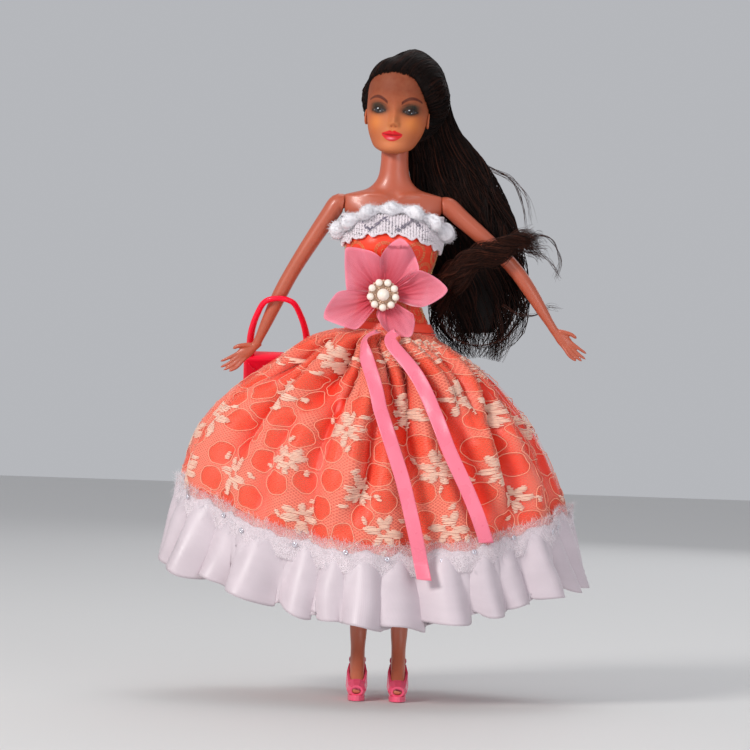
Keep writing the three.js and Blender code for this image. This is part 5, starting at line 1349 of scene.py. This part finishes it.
def brooch_setting():
    """Two hoops, a ring of fine beads, nine arms with a bead each, nine cups and a plate behind."""
    def about(turn, radius, depth, middle=(FLOWER_X, FLOWER_UP)):
        x, z = middle[0] + radius * np.sin(turn), middle[1] + radius * np.cos(turn)
        return np.stack(np.broadcast_arrays(x, front + depth, z), -1)

    hoop = np.linspace(0, 2 * math.pi, 90)
    parts = [tubes(about(math.pi / 2 - hoop, radius, -0.2)[None], size, 8)
             for radius, size in ((6.3, 0.22), (3.25, 0.3))]
    bead = [[0.02, -0.5], [0.33, -0.36], [0.46, 0], [0.33, 0.36], [0.02, 0.5]]
    parts += [lathe(bead, 10, about(k / 20 * 2 * math.pi, 3.3, -0.5)) for k in range(20)]
    for k in range(9):
        arm, between = k / 9 * 2 * math.pi, (k + 0.5) / 9 * 2 * math.pi
        parts.append(lathe(bead, 10, about(arm, 6.15, -0.6)))
        parts.append(tubes(about(arm, np.array([2.4, 4, 5.4, 6.6]), -0.1)[None], 0.3, 6))
        x, _, z = about(between, 5.6, 0)
        parts.append(tubes(about(math.pi / 2 - hoop, 1.45, -0.55, (x, z))[None], 0.2, 6))
    parts.append(lathe([[6.2, back - front], [6.5, back - front], [6.6, 0.2], [6.3, 0], [0.05, 0]][::-1], 60,
                       [FLOWER_X, front, FLOWER_UP]))
    return joined(parts)


piece("brooch_goldwork", *brooch_setting(), gold.material, "body_and_gown", "gold", ("brooch_setting",))


# Ribbon tails over the front of the skirt: drop share, turn in degrees, twist in degrees.
RIBBON_HALF = 3.1
ribbon_rows = {
    "right": [[-0.01, -13, 20], [0.06, -11.5, 62], [0.12, -9, 20], [0.28, -1.5, 0], [0.58, 8, 0], [0.85, 13.4, 4],
              [1.07, 17, 0]],
    "left": [[-0.01, 9, -10], [0.1, 16, 0], [0.3, 22, 6], [0.52, 25.6, 0], [0.74, 31, 0], [0.95, 36.5, 0]]}


def ribbon(name, rows, steps=110, columns=13):
    """A tail that lies in front of the skirt's broad flutes, nearer to her at its top and hanging free below."""
    drop = np.linspace(rows[0][0], rows[-1][0], steps)
    turn, twist = np.moveaxis(table(rows, drop), -1, 0)
    angle = np.radians(turn)
    held = np.maximum(drop, 0)
    here = skirt_point(angle, held, 0.0)
    top = torso_point(angle, np.full(steps, SEAM), SKIRT_TOP_IN)
    flare = 1 - np.maximum(1 - held, 0) ** 2.5
    rise = 2.2 * 1.35 * np.minimum(1, 4 * held) * (0.4 + 0.6 * held)
    here[:, 1] = top[:, 1] + (-HALF_DEEP * np.cos(angle) - top[:, 1]) * flare - rise - 4.5
    here[:, 1] -= 2.2 * np.exp(-held / 0.12) + np.maximum(drop - 1, 0) * 48
    here[:, 1] -= 0.5 * np.sin(drop * 17)
    along = unit(np.gradient(here, axis=0))
    side = unit(np.array([1.0, 0, 0]) - along * along[:, :1])
    out = np.cross(side, along)
    out *= np.sign(-out[:, 1:2])
    lean = np.radians(twist)[:, None]
    wide = side * np.cos(lean) + out * np.sin(lean)
    face = np.cross(along, wide)
    face *= np.sign(-face[:, 1:2])
    along, wide, face = along[:, None], wide[:, None], face[:, None]
    share = np.linspace(-1, 1, columns)
    width = RIBBON_HALF * (1 - 0.35 * bell(drop, 0.035))
    cup = 0.35 * (share ** 2)[None] * np.cos(drop * 30)[:, None]
    # The end is cut slantwise.
    slope = 0.9 * share[None] * (drop > drop[-1] - 1e-9)[:, None]
    grid = here[:, None] + wide * (share[None] * width[:, None])[..., None] + face * cup[..., None]
    grid = grid + along * slope[..., None]
    points, faces = closed_sheet(grid + face * 0.12, grid - face * 0.12)
    return piece(f"satin_tail_{name}", points, faces, pink_satin, "body_and_gown", "pink_satin",
                 (f"ribbon_{name}",), fabric=cloth_places(share * 3, drop[:, None] * 100))


tails = [ribbon(name, rows) for name, rows in ribbon_rows.items()]


# The handbag, in its own frame with its hook at the origin, then tipped back. Tilt and hook are the CAD's.
BAG_TILT = math.radians(42)
BAG_HOOK = np.array([-49.213, 0.028, 176.463])


def rounded_outline(half_top, half_low, top, low, corner):
    """A four-sided outline with round corners, the upper ones half as wide."""
    corners = [(-half_top, top, corner * 0.5), (half_top, top, corner * 0.5), (half_low, low, corner),
               (-half_low, low, corner)]
    t = np.linspace(0, 1, 16)[:, None]
    line = []
    for k, (x, z, r) in enumerate(corners):
        tip = np.array([x, z])
        a, b = (tip + unit(np.array(corners[other][:2]) - tip) * r for other in (k - 1, (k + 1) % 4))
        line.append((1 - t) ** 2 * a + 2 * t * (1 - t) * tip + t ** 2 * b)
    return np.concatenate(line)


def bag():
    outline = rounded_outline(15.6, 16, -35, -62, 4.5)
    middle = outline.mean(0)
    half = [(2.2, 3.05), (0.9, 2.9), (0.25, 2.4), (0, 1.6)]
    rings = []
    for inset, y in half + [(inset, -y) for inset, y in half[::-1]]:
        scaled = outline - unit(outline - middle) * inset
        rings.append(np.stack([scaled[:, 0], np.full(len(outline), y), scaled[:, 1]], -1))
    points = np.concatenate([*rings, [[middle[0], 3.2, middle[1]], [middle[0], -3.2, middle[1]]]])
    parts = [(points, tube_faces(len(rings), len(outline)))]
    # The handle, up one side and down the other.
    half = [(12.8 * share, z) for share, z in ((1, -36.5), (1, -30), (0.96, -22), (0.78, -11.9), (0.46, -3.1))]
    line = smooth_path([[-x, 0, z] for x, z in half] + [[0, 0, -1.2]] + [[x, 0, z] for x, z in half[::-1]], 90)
    size = 1.25 + 0.62 * np.abs(np.linspace(-1, 1, 90)) ** 1.5
    parts.append(tubes(line[None], size[None], 20))
    # A moulded flap line with a small plain clasp on each face.
    t = np.linspace(-1, 1, 40)
    for face in (-1, 1):
        curve = np.stack([t * 13.2, np.full(40, face * 3.12), -36.5 - 11.5 * np.cos(t * 1.45)], -1)
        parts.append(tubes(curve[None], 0.42, 8))
        parts.append(lathe([[0.05, -0.9], [1.5, -0.8], [1.9, -0.3], [1.9, 0.3], [1.5, 0.8], [0.05, 0.9]], 28,
                           [0, face * 3.1, -48]))
    points, faces = joined(parts)
    return tipped(points, BAG_TILT) + BAG_HOOK, faces


piece("moulded_handbag", *bag(), bag_plastic.material, "handbag", "bag_plastic", ("handbag",))


# The head. Its own frame is turned and tilted about the neck's knob.
CHIN, HEAD_TALL, FACE_HALF, HEAD_DEEP = 241.0, 42.4, 14.4, 14.0
KNOB = CHIN + 7.0
HEAD_TURN, HEAD_TILT = math.radians(-7), math.radians(2.9)


def placed_head(points):
    """Tilted about Y and then turned about Z. The CAD does it in the other order, which is under 0.3 mm away."""
    x, y, z = np.moveaxis(points - [0, 0, KNOB], -1, 0)
    c, s = math.cos(HEAD_TILT), math.sin(HEAD_TILT)
    x, z = x * c + z * s, -x * s + z * c
    c, s = math.cos(HEAD_TURN), math.sin(HEAD_TURN)
    return np.stack([x * c - y * s, x * s + y * c, z + KNOB], -1)


# The head's oval: share of its height, half width, front and back.
head_rows = [[0, 0.2, -0.82, -0.5], [0.02, 0.38, -0.92, -0.26], [0.06, 0.575, -0.965, 0.08],
             [0.125, 0.7, -0.975, 0.4], [0.22, 0.825, -0.975, 0.72], [0.33, 0.905, -0.97, 0.95],
             [0.44, 0.945, -0.955, 1.08],
             [0.56, 0.95, -0.985, 1.13], [0.68, 0.94, -1.0, 1.12], [0.8, 0.86, -0.93, 1.02], [0.9, 0.69, -0.76, 0.83],
             [0.97, 0.42, -0.48, 0.52], [1, 0.1, -0.12, 0.12]]
EYE_X, EYE_UP = 7.0, 18.7


def face_relief(x, up):
    """How far the face stands out of its oval, in millimetres, at a place across and up from the chin."""
    ax = np.abs(x)
    nose_x = x - 0.55
    bridge = 1.15 * bell(nose_x, 1.9) * np.clip((up - 12.5) / 3, 0, 1) * np.clip((25 - up) / 7, 0, 1)
    tip = 2.35 * bell(nose_x, 1.75) * np.where(up > 13, bell(up - 13, 3.4), bell(up - 13, 1.35))
    wings = 0.8 * bell(np.abs(nose_x) - 1.75, 0.85) * bell(up - 12.4, 1.05)
    nostrils = -0.45 * bell(np.abs(nose_x) - 0.95, 0.42) * bell(up - 11.5, 0.42)
    sockets = -1.15 * bell(ax - 6.6, 3.6) * bell(up - 18.9, 2.7)
    balls = 0.75 * bell(ax - 7.0, 2.6) * bell(up - 18.4, 1.75)
    brow = 0.45 * bell(ax - 7.4, 4.2) * bell(up - 23.4, 1.7)
    cheeks = 0.75 * bell(ax - 8.2, 3.4) * bell(up - 11.8, 4.2)
    mouth = 0.7 * bell(ax, 4.6) * bell(up - 7.6, 3.2)
    upper = 0.5 * bell(ax - 0.9, 2.3) * bell(up - 8.75, 0.75)
    lower = 0.62 * bell(ax, 2.6) * bell(up - 6.35, 0.85)
    part = -0.5 * bell(ax, 3.6) * bell(up - 7.65 - 0.02 * ax ** 2, 0.3)
    under = -0.35 * bell(ax, 3.2) * bell(up - 4.6, 0.8)
    groove = -0.18 * bell(ax, 0.6) * bell(up - 10.1, 0.8)
    chin = 0.65 * bell(ax, 3.6) * bell(up - 2.3, 1.9)
    return (bridge + tip + wings + nostrils + sockets + balls + brow + cheeks + mouth + upper + lower + part
            + under + groove + chin)


def head_point(angle, share, offset=0.0, relief=True):
    width, front, back = np.moveaxis(table(head_rows, share), -1, 0)
    facing = np.cos(angle)
    x = (width * FACE_HALF + offset) * np.sin(angle)
    middle = (front + back) / 2 * HEAD_DEEP
    depth = (back - front) / 2 * HEAD_DEEP + offset
    # A face is flatter in front than an oval.
    square = np.sign(facing) * np.abs(facing) ** np.where(facing > 0, 0.86, 1.0)
    stand = 0.0
    if relief:
        stand = np.where(facing > 0, face_relief(x, share * HEAD_TALL) * np.clip(facing * 2.2, 0, 1), 0)
    return np.stack([x, middle - depth * square - stand, CHIN + share * HEAD_TALL], -1)


def face_paint(x, up, y):
    """The head's colours: the vinyl, a blush, eye shadow, eyes, brows and lips, with painted light on the lower face,
    painted shade on the forehead, along the lid creases, the lips' parting and in the nostrils, and painted
    highlights in the eyes and on the lower lip.
    """
    ax = np.abs(x)
    tint = np.broadcast_to(np.array(linear(174, 90, 56)), x.shape + (3,)).copy()

    def lay(colour, cover):
        target = np.array(linear(*colour))
        tint[...] = tint + (target - tint) * np.clip(cover, 0, 1)[..., None]

    def band(value, half, soft):
        return np.clip((half - np.abs(value)) / soft + 0.5, 0, 1)

    front = y < 0
    lay((208, 106, 50), 0.5 * bell(ax - 9.2, 3.6) * bell(up - 12.6, 4.4) * front)
    # Painted light: lighter over the middle of the lower face, the upper cheeks and the chin.
    lay((216, 140, 84), 0.5 * bell(ax, 6.0) * bell(up - 10, 7) * front)
    lay((230, 144, 70), 0.45 * bell(ax - 7.6, 3.2) * bell(up - 13.4, 3.2) * front)
    lay((228, 140, 92), 0.45 * bell(ax, 5.5) * bell(up - 3.5, 3.2) * front)
    # Painted shade: darker from the eyes up over the forehead.
    lay((126, 60, 38), 0.92 * np.clip((up - 17) / 11, 0, 1) * front)
    ex = ax - EYE_X
    # Smoky shade above the eye and round its outer corner.
    smoky = bell(ex - 0.3, 3.3) * bell(up - (EYE_UP + 1.2 + 0.14 * ex), 2.0)
    lay((42, 42, 34), 1.6 * smoky * front)
    lay((20, 18, 17), 1.9 * bell(ex, 3.0) * bell(up - EYE_UP, 1.55) * front)
    top = EYE_UP + 1.05 - 0.16 * (ex - 0.15) ** 2
    low = EYE_UP - 1.15 + 0.14 * (ex + 0.05) ** 2
    opening = np.clip((top - up) / 0.25, 0, 1) * np.clip((up - low) / 0.25, 0, 1) * (np.abs(ex) < 3.3)
    lay((104, 106, 112), opening * front)
    iris = np.hypot(x - np.sign(x) * EYE_X - 0.1, up - EYE_UP - 0.05) * 0.94
    lay((34, 44, 54), opening * np.clip((1.8 - iris) / 0.3, 0, 1) * front)
    lay((22, 24, 28), opening * band(iris - 1.7, 0.22, 0.25) * front)
    lay((10, 10, 12), opening * np.clip((0.95 - iris) / 0.15, 0, 1) * front)
    # Painted highlights: a glint and a smaller second one in each eye.
    glint = np.hypot(x - np.sign(x) * EYE_X + 0.55, up - EYE_UP - 0.75)
    lay((238, 240, 244), opening * np.clip((0.42 - glint) / 0.15, 0, 1) * front)
    small = np.hypot(x - np.sign(x) * EYE_X - 0.6, up - EYE_UP + 0.55)
    lay((190, 195, 200), opening * np.clip((0.25 - small) / 0.15, 0, 1) * front)
    lash = band(up - top - 0.2, 0.42, 0.3) * (ex > -3.2) * (ex < 3.3)
    lay((14, 11, 10), lash * front)
    lay((24, 18, 17), 0.95 * band(up - low + 0.1, 0.26, 0.25) * (np.abs(ex) < 3.3) * front)
    hairs = 0.5 + 0.5 * np.cos(ex * 7.5)
    lay((20, 15, 14), 0.7 * hairs * band(up - top - 0.9, 0.55, 0.4) * (ex > -2.4) * (ex < 3.3) * front)
    # Painted shade along the crease of each lid.
    crease = band(up - (EYE_UP + 3.15 - 0.075 * (ex - 0.3) ** 2), 0.16, 0.25) * (np.abs(ex) < 3.6)
    lay((58, 44, 34), 0.6 * crease * front)
    bx = ax - 7.3
    arch = 24.5 - np.where(bx < 0.9, 0.1, 0.115) * (bx - 0.9) ** 2
    thick = 0.74 - 0.04 * np.abs(bx) - 0.035 * bx
    brow = np.clip((thick - np.abs(up - arch)) / 0.28 + 0.5, 0, 1) * (bx > -4.2) * (bx < 4.4)
    lay((84, 28, 18), brow * front)
    # Lips: a bowed upper one and a full lower one.
    upper_edge = 9.55 - 0.05 * ax ** 2 + 0.32 * bell(ax - 1.15, 0.75) - 0.16 * bell(ax, 0.4)
    lower_edge = 5.05 + 0.105 * ax ** 2 + 0.004 * ax ** 3
    lips = np.clip((upper_edge - up) / 0.22 + 0.5, 0, 1) * np.clip((up - lower_edge) / 0.22 + 0.5, 0, 1)
    lips = lips * np.clip((4.75 - ax) / 0.3, 0, 1)
    lay((206, 6, 32), lips * front)
    # A painted highlight on the lower lip.
    lay((250, 150, 165), 0.75 * bell(x + 0.3, 1.5) * bell(up - 6.2, 0.5) * lips * front)
    # Painted shade along the parting of the lips.
    lay((120, 8, 22), 0.85 * band(up - 7.65 - 0.03 * ax ** 2, 0.16, 0.25) * (ax < 4.2) * front)
    # Painted shade in the nostrils.
    lay((150, 70, 45), 0.7 * bell(np.abs(x - 0.55) - 0.95, 0.4) * bell(up - 11.45, 0.3) * front)
    return tint


def head_skin():
    bend = np.linspace(-1, 1, 300, endpoint=False)
    angles = math.pi * (0.62 * bend + 0.38 * bend ** 3)
    shares = np.concatenate([np.linspace(0, 0.04, 10, endpoint=False), np.linspace(0.04, 0.66, 210, endpoint=False),
                             np.linspace(0.66, 1, 46)])
    angle, share = np.meshgrid(angles, shares)
    points = head_point(angle, share)
    tint = face_paint(points[..., 0], points[..., 2] - CHIN, points[..., 1]).reshape(-1, 3)
    flat = np.concatenate([points.reshape(-1, 3), [points[0].mean(0)], [points[-1].mean(0)]])
    parts = [(flat, tube_faces(*points.shape[:2]))]
    tints = [tint, tint[:1], tint[-1:]]
    # The ears: a rim and a bowl.
    turn = np.linspace(0, 2 * math.pi, 30)
    for side in (-1, 1):
        rim = np.stack([np.full(30, side * 13.1) + side * 0.9 * np.abs(np.sin(turn / 2)),
                        1.2 + 1.9 * np.cos(turn), CHIN + 16.0 + 3.0 * np.sin(turn)], -1)
        parts.append(tubes(rim[None], 0.52, 8, reference=(1, 0, 0)))
        bowl, bowl_faces = lathe([[0.05, -0.5], [1.5, -0.4], [2.3, 0], [1.5, 0.4], [0.05, 0.5]], 24, [0, 0, 0])
        bowl = np.stack([bowl[:, 1] + side * 13.15, bowl[:, 0] * 0.8 + 1.2, bowl[:, 2] * 1.25 + CHIN + 16.0], -1)
        parts.append((bowl, bowl_faces))
        for some in parts[-2:]:
            tints.append(np.broadcast_to(np.array(linear(184, 98, 64)), (len(some[0]), 3)))
    points, faces = joined(parts)
    piece("painted_head", placed_head(points), faces, face_finish.material, "head", "vinyl_skin", ("head",),
          tint=np.concatenate(tints))


head_skin()


# Hair. A dark core under thousands of strands.
def hair_colour(count, warm):
    """Near black for each strand, with a share of warm brown."""
    base = np.array(linear(18, 12, 11))
    red = np.array(linear(96, 52, 38))
    share = np.clip(warm + 0.18 * rng.normal(size=count), 0, 1)[:, None]
    return base + (red - base) * share


HAIR_MIDDLE = np.array([3.6, 3.0, 262.0])
# The hair's outline seen from the front, as degrees round its middle and millimetres from it.
hair_outline = np.array([
    [-180, 19.0], [-150, 18.0], [-120, 16.6], [-90, 16.0], [-60, 17.6], [-30, 19.2], [5, 20.9], [32, 21.7],
    [43, 23.2], [55, 24.6], [71, 26.0], [82, 26.6], [91, 25.6], [103, 23.4], [120, 21.0], [140, 20.3], [158, 20.6],
    [180, 19.0]])


def hair_reach(way):
    """How far the dressed hair reaches from its middle in a direction."""
    turn = np.degrees(np.arctan2(way[..., 2], way[..., 0]))
    side = np.interp(turn, hair_outline[:, 0], hair_outline[:, 1])
    depth = np.where(way[..., 1] < 0, 22.0, 19.5)
    flat = np.hypot(way[..., 0], way[..., 2])
    return 1 / np.sqrt((flat / side) ** 2 + (way[..., 1] / depth) ** 2)


def aimed(points):
    """Directions from the hair's middle and the distances along them."""
    way = points - HAIR_MIDDLE
    far = np.linalg.norm(way, axis=-1, keepdims=True)
    return way / far, far[..., 0]


def hairline(angle):
    """The lowest share of the head that hair covers at each angle: high over the face, low at the nape."""
    turned = np.angle(np.exp(1j * angle))
    right = np.interp(turned, [0, 0.36, 0.63, 0.85, 1.07, 1.32, 1.55, 1.8, 1.95, 2.2, 2.6, 3.15],
                      [0.835, 0.82, 0.778, 0.69, 0.59, 0.52, 0.47, 0.4, 0.3, 0.15, 0.1, 0.08])
    left = np.interp(-turned, [0, 0.5, 0.76, 1.1, 1.35, 1.47, 1.6, 1.75, 1.95, 2.2, 2.6, 3.15],
                     [0.835, 0.825, 0.8, 0.755, 0.7, 0.64, 0.5, 0.35, 0.22, 0.15, 0.1, 0.08])
    return np.where(turned >= 0, right, left)


def cap_core():
    """The dark body of the dressed hair, from the scalp out to just inside its outline."""
    angle = circle(120)
    start = hairline(angle) + 0.012
    t = np.linspace(0, 1, 40)[:, None]
    share = start[None] + (0.995 - start)[None] * t
    inner = placed_head(head_point(np.broadcast_to(angle, share.shape), share, 0.12, False))
    way, far = aimed(inner)
    grown = 1 - np.exp(-(t + 0.004) / 0.1)
    reach = far + 0.15 + np.maximum(hair_reach(way) - 1.1 - far, 0.1) * grown
    return closed_sheet(HAIR_MIDDLE + way * reach[..., None], inner, True)


points, faces = cap_core()
piece("hair_base", points, faces, scalp.material, "head", "hair", ("hair_cap",))
core_tree = BVHTree.FromPolygons(points.tolist(), faces.tolist())


OUTSIDE = 60


def over_core(way, other):
    """How far the hair's core reaches in each direction, or another distance where there is none."""
    reach = np.array(np.broadcast_to(other, way.shape[:-1]), float).reshape(-1)
    for k, one in enumerate(way.reshape(-1, 3)):
        hit = core_tree.ray_cast(Vector(HAIR_MIDDLE + one * OUTSIDE), Vector(-one))
        if hit[0] is not None and hit[3] < OUTSIDE - 10:
            reach[k] = OUTSIDE - hit[3]
    return reach.reshape(way.shape[:-1])


def cap_strands(count, steps=20):
    """Strands that rise from the hairline, sweep over the crown and gather behind at her left."""
    angle = rng.uniform(-math.pi, math.pi, count)
    begin = hairline(angle) + 0.006 * rng.normal(size=count)
    depth = rng.uniform(0, 1, count) ** 1.6 * 0.8
    share = begin + (0.97 - begin) * depth
    root, far = aimed(placed_head(head_point(angle, share, 0.0, False)))
    t = np.linspace(0, 1, steps)[None, :, None]
    gather = unit(np.array([0.74, 0.62, 0.1]) + rng.normal(size=(count, 3)) * [0.1, 0.1, 0.24])
    over = unit(root * 0.8 + gather * 0.55 + [0.12, 0.12, 0.62])
    way = unit(root[:, None] * (1 - t) ** 2 + 2 * t * (1 - t) * over[:, None] + gather[:, None] * t ** 2)
    reach = over_core(way, far[:, None])
    layer = 0.12 + 0.85 * rng.random(count) ** 1.3
    rise = np.where((depth[:, None] < 0.04) & (t[..., 0] < 0.02), -0.3, 1.0) * layer[:, None]
    paths = HAIR_MIDDLE + way * (reach + rise)[..., None]
    return paths + 0.1 * np.sin(t * 9 + rng.random(count)[:, None, None] * 6)


def strands(name, paths, radius, warm, body, node=()):
    """A piece of many tapering hairs, each with its own thickness and shade."""
    count, steps = paths.shape[:2]
    taper = np.interp(np.linspace(0, 1, steps), [0, 0.08, 0.8, 1], [0.7, 1, 0.9, 0.25])
    size = radius * (0.75 + 0.5 * rng.random(count))[:, None] * taper[None]
    points, faces = tubes(paths, size, 3, reference=(0.13, 1, 0.07))
    tint = np.repeat(hair_colour(count, warm), len(points) // count, axis=0)
    return piece(name, points, faces, hair_dark.material, body, "hair", node, tint=tint)


for number in (1, 2):
    strands(f"crown_strands_{number}", cap_strands(1400), 0.19, 0.0, "head")

# The long hair's outer and inner edges as seen from the front: [across, up].
outer_edge = smooth_path([[15, 284], [20.5, 277], [23, 268], [25.5, 259], [29, 252], [34, 246], [39, 240],
                          [46, 229], [52, 216], [56, 203], [59, 190], [60, 176], [57, 162], [50, 152]], 60)
inner_edge = smooth_path([[0, 280], [4, 268], [5, 255], [6, 244], [8, 234], [11, 224], [14, 212], [17, 198],
                          [19, 184], [20, 172], [23, 160], [30, 152]], 60)


def fall_frame(t):
    """The long hair's inner and outer edge, how far behind her it starts and its thickness, along its length."""
    back = np.interp(t, [0, 0.1, 0.25, 0.5, 1], [3, 9, 11, 9.2, 8.6])
    thick = np.interp(t, [0, 0.15, 0.5, 1], [9, 9, 8, 5.5])
    return path_at(inner_edge, t), path_at(outer_edge, t), back, thick


def fall_strands(count, steps=30, locks=70):
    """The long hair in wavy locks."""
    lock_across = rng.random(locks)
    lock_depth = rng.random(locks)
    lock_phase = rng.random(locks) * 6.28
    which = rng.integers(0, locks, count)
    spread = rng.normal(size=count) * 0.055
    across = np.clip(lock_across[which] + spread, 0, 1)[:, None]
    deep = np.clip(lock_depth[which] + rng.normal(size=count) * 0.1, 0, 1)[:, None]
    ends = np.clip(0.62 + 0.38 * rng.random(locks)[which] + 0.08 * rng.normal(size=count), 0.35, 1.0)
    begins = 0.02 + 0.1 * rng.random(count)
    t = begins[:, None] + (ends - begins)[:, None] * np.linspace(0, 1, steps)[None]
    inner, outer, back, thick = fall_frame(t)
    pinch = 0.5 + (across - 0.5) * np.interp(t, [0, 0.12, 0.4, 1], [0.92, 0.95, 0.98, 1.0])
    line = inner + (outer - inner) * pinch[..., None]
    phase = lock_phase[which][:, None] + 0.6 * rng.normal(size=count)[:, None]
    growth = np.clip(t * 1.8, 0.1, 1.2)
    wave = np.sin(t * 23 + phase) * growth
    way = unit(np.gradient(line, axis=1))
    line = line + np.stack([-way[..., 1], way[..., 0]], -1) * (2.3 * wave)[..., None]
    y = back + thick * deep + 1.1 * np.cos(t * 19 + phase) * growth
    return np.stack([line[..., 0], y, line[..., 1]], -1)


def fall_core(steps=46, sides=20):
    """The dark body inside the long hair."""
    t = np.linspace(0.03, 0.9, steps)[:, None]
    inner, outer, back, thick = fall_frame(t[:, 0])
    middle, half = (inner + outer) / 2, (outer - inner) / 2
    shrink = np.interp(t, [0, 0.1, 0.7, 0.9], [0.6, 0.86, 0.8, 0.35])
    turn = circle(sides)
    ridge = 1 + 0.05 * np.sin(turn * 7 + t * 30)
    c, s = np.cos(turn) * ridge, np.sin(turn) * ridge
    back, thick = back[:, None], thick[:, None]
    rings = np.stack([middle[:, :1] + half[:, :1] * shrink * c, back + thick / 2 + thick * 0.42 * s,
                      middle[:, 1:] + half[:, 1:] * shrink * c], -1)
    points = np.concatenate([rings.reshape(-1, 3), [rings[0].mean(0)], [rings[-1].mean(0)]])
    return points, tube_faces(steps, sides)


def hair_rides(obj):
    """Bakes the piece's placement into its points, leaving it on no body."""
    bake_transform(obj)


hair_rides(piece("hair_fall_core", *fall_core(), scalp.material, None, "hair", ("hair_fall",)))
hair_rides(strands("long_strands_front", fall_strands(1050), 0.24, 0.08, None))
hair_rides(strands("long_strands_back", fall_strands(1050), 0.24, 0.06, None))


# The wavy tress in front of her left elbow, and loose single hairs.
def tress_strands(count, steps=34, locks=16):
    which = rng.integers(0, locks, count)
    own = np.random.default_rng(5)
    offsets = own.normal(size=(locks, 3)) * [1.4, 0.7, 2.2]
    phases = own.random(locks) * 6.28
    guide = smooth_path([[21, 4, 178], [25, -1.5, 184], [31, -7.2, 191], [38, -9.4, 197], [49, -9.2, 201],
                         [57, -7.5, 205], [64, -3, 206], [67, 1.5, 203]], 60)
    ends = 0.75 + 0.25 * rng.random(count)
    begins = 0.12 * rng.random(count)
    t = begins[:, None] + (ends - begins)[:, None] * np.linspace(0, 1, steps)[None]
    line = path_at(guide, t)
    splay = np.interp(t, [0, 0.45, 0.8, 1], [1.9, 1.15, 0.9, 1.9])
    line = line + (offsets[which][:, None] + rng.normal(size=(count, 1, 3)) * [0.5, 0.4, 0.9]) * splay[..., None]
    phase = phases[which][:, None] + 0.5 * rng.normal(size=count)[:, None]
    line[..., 2] += 1.6 * np.sin(t * 22 + phase)
    line[..., 1] += 0.7 * np.cos(t * 22 + phase)
    line[..., 1] = np.minimum(line[..., 1], np.where((line[..., 0] > 30) & (line[..., 0] < 60), -4.6, 20))
    return line


strands("elbow_tress", tress_strands(460), 0.15, 0.3, "body_and_gown", ("hair_tress",))


def loose_hairs(steps=40):
    """A few single hairs along each of some guides."""
    guides = [
        [[22, 14, 262], [30, 13, 247], [36, 12, 240], [45, 11, 236], [53, 10, 232], [58, 9, 222], [60, 8, 209]],
        [[24, 14, 258], [33, 13, 244], [43, 12, 237], [52, 11, 233], [59, 10, 226], [62, 9, 214]],
        [[60, -4, 205], [66, -3, 207], [72, -2, 204], [75, -1, 196], [73, 0, 188]],
        [[58, -5, 200], [64, -4, 199], [70, -3, 196], [75, -2, 188]],
        [[50, 2, 176], [58, 1, 172], [65, 2, 172], [71, 3, 176], [76, 4, 175]],
        [[22, 3, 168], [30, -4, 160], [40, -4, 157], [50, -2, 160], [57, 2, 166]]]
    lines = []
    t = np.linspace(0, 1, steps)[:, None]
    for guide in guides:
        line = smooth_path(guide, steps)
        for _ in range(7):
            drift = rng.normal(size=3) * [0.7, 0.6, 0.7]
            lines.append(line + drift * t + 0.4 * np.sin(t * 12 + rng.random() * 6))
    return np.array(lines)


hair_rides(strands("loose_hairs", loose_hairs(), 0.1, 0.3, None))


# The back closing and the hip's pin show their CAD shapes.
repainted("back_fastener", hook_tape)
nylon = Finish("nylon_pin", (232, 228, 220), 0.5)
nylon.vary(nylon.noise(0.3, 2), 0.9, 1.05)
repainted("hip_axle", nylon)

# The floor, the light and the camera.
FLOOR_WIDE, FLOOR_BELOW = 6, 0.0003
floor_material = Finish("pale_floor", (214, 213, 212), 0.7)
bpy.ops.mesh.primitive_plane_add(size=FLOOR_WIDE, location=(0, 0, -WAIST * MM - FLOOR_BELOW))
floor = bpy.context.object
floor.name = "floor"
floor.data.materials.append(floor_material.material)

world = bpy.data.worlds.new("soft_room")
bpy.context.scene.world = world
world.use_nodes = True
background = world.node_tree.nodes["Background"].inputs
background["Color"].default_value = (0.93, 0.95, 1.0, 1)
background["Strength"].default_value = 0.5


def lamp(name, place, size, power, colour=(1, 1, 1)):
    """An area light that points at the doll's middle."""
    data = bpy.data.lights.new(name, "AREA")
    data.shape = "RECTANGLE"
    data.size, data.size_y = size
    data.energy = power
    data.color = colour
    obj = bpy.data.objects.new(name, data)
    bpy.context.scene.collection.objects.link(obj)
    obj.location = place
    obj.rotation_euler = (-Vector(place)).to_track_quat("-Z", "Y").to_euler()


lamp("key", (-1.15, -1.3, 0.8), (0.5, 0.4), 24.0, (1, 0.98, 0.95))
lamp("fill", (0.6, -1.05, 0.1), (0.6, 0.6), 3.0, (0.97, 0.98, 1))
lamp("top", (0.1, 0.4, 0.9), (0.6, 0.6), 2.0)
lamp("behind", (0.5, 1.3, 0.5), (1.0, 1.0), 2.5, (0.97, 0.98, 1))

# The photo is 750 pixels wide at 2.27 pixels a millimetre, and turned by 1.93 degrees.
PHOTO_WIDE, PHOTO_SCALE, PHOTO_ROLL = 750, 2.27, math.radians(1.93)
DISTANCE, SENSOR = 1.6, 36
aim = Vector((-0.0055, -0.012, -0.031))
camera_data = bpy.data.cameras.new("camera")
camera = bpy.data.objects.new("camera", camera_data)
bpy.context.scene.collection.objects.link(camera)
camera.location = aim + Vector((0, -DISTANCE, 0))
right = Vector((math.cos(PHOTO_ROLL), 0, math.sin(PHOTO_ROLL)))
up = Vector((-math.sin(PHOTO_ROLL), 0, math.cos(PHOTO_ROLL)))
rotation = np.array([right, up, right.cross(up)]).T
camera.rotation_mode = "QUATERNION"
camera.rotation_quaternion = Matrix(rotation.tolist()).to_quaternion()
camera_data.sensor_width = SENSOR
camera_data.lens = SENSOR * DISTANCE / (PHOTO_WIDE / PHOTO_SCALE * MM)
bpy.context.scene.camera = camera
bpy.context.scene.view_settings.view_transform = "Standard"
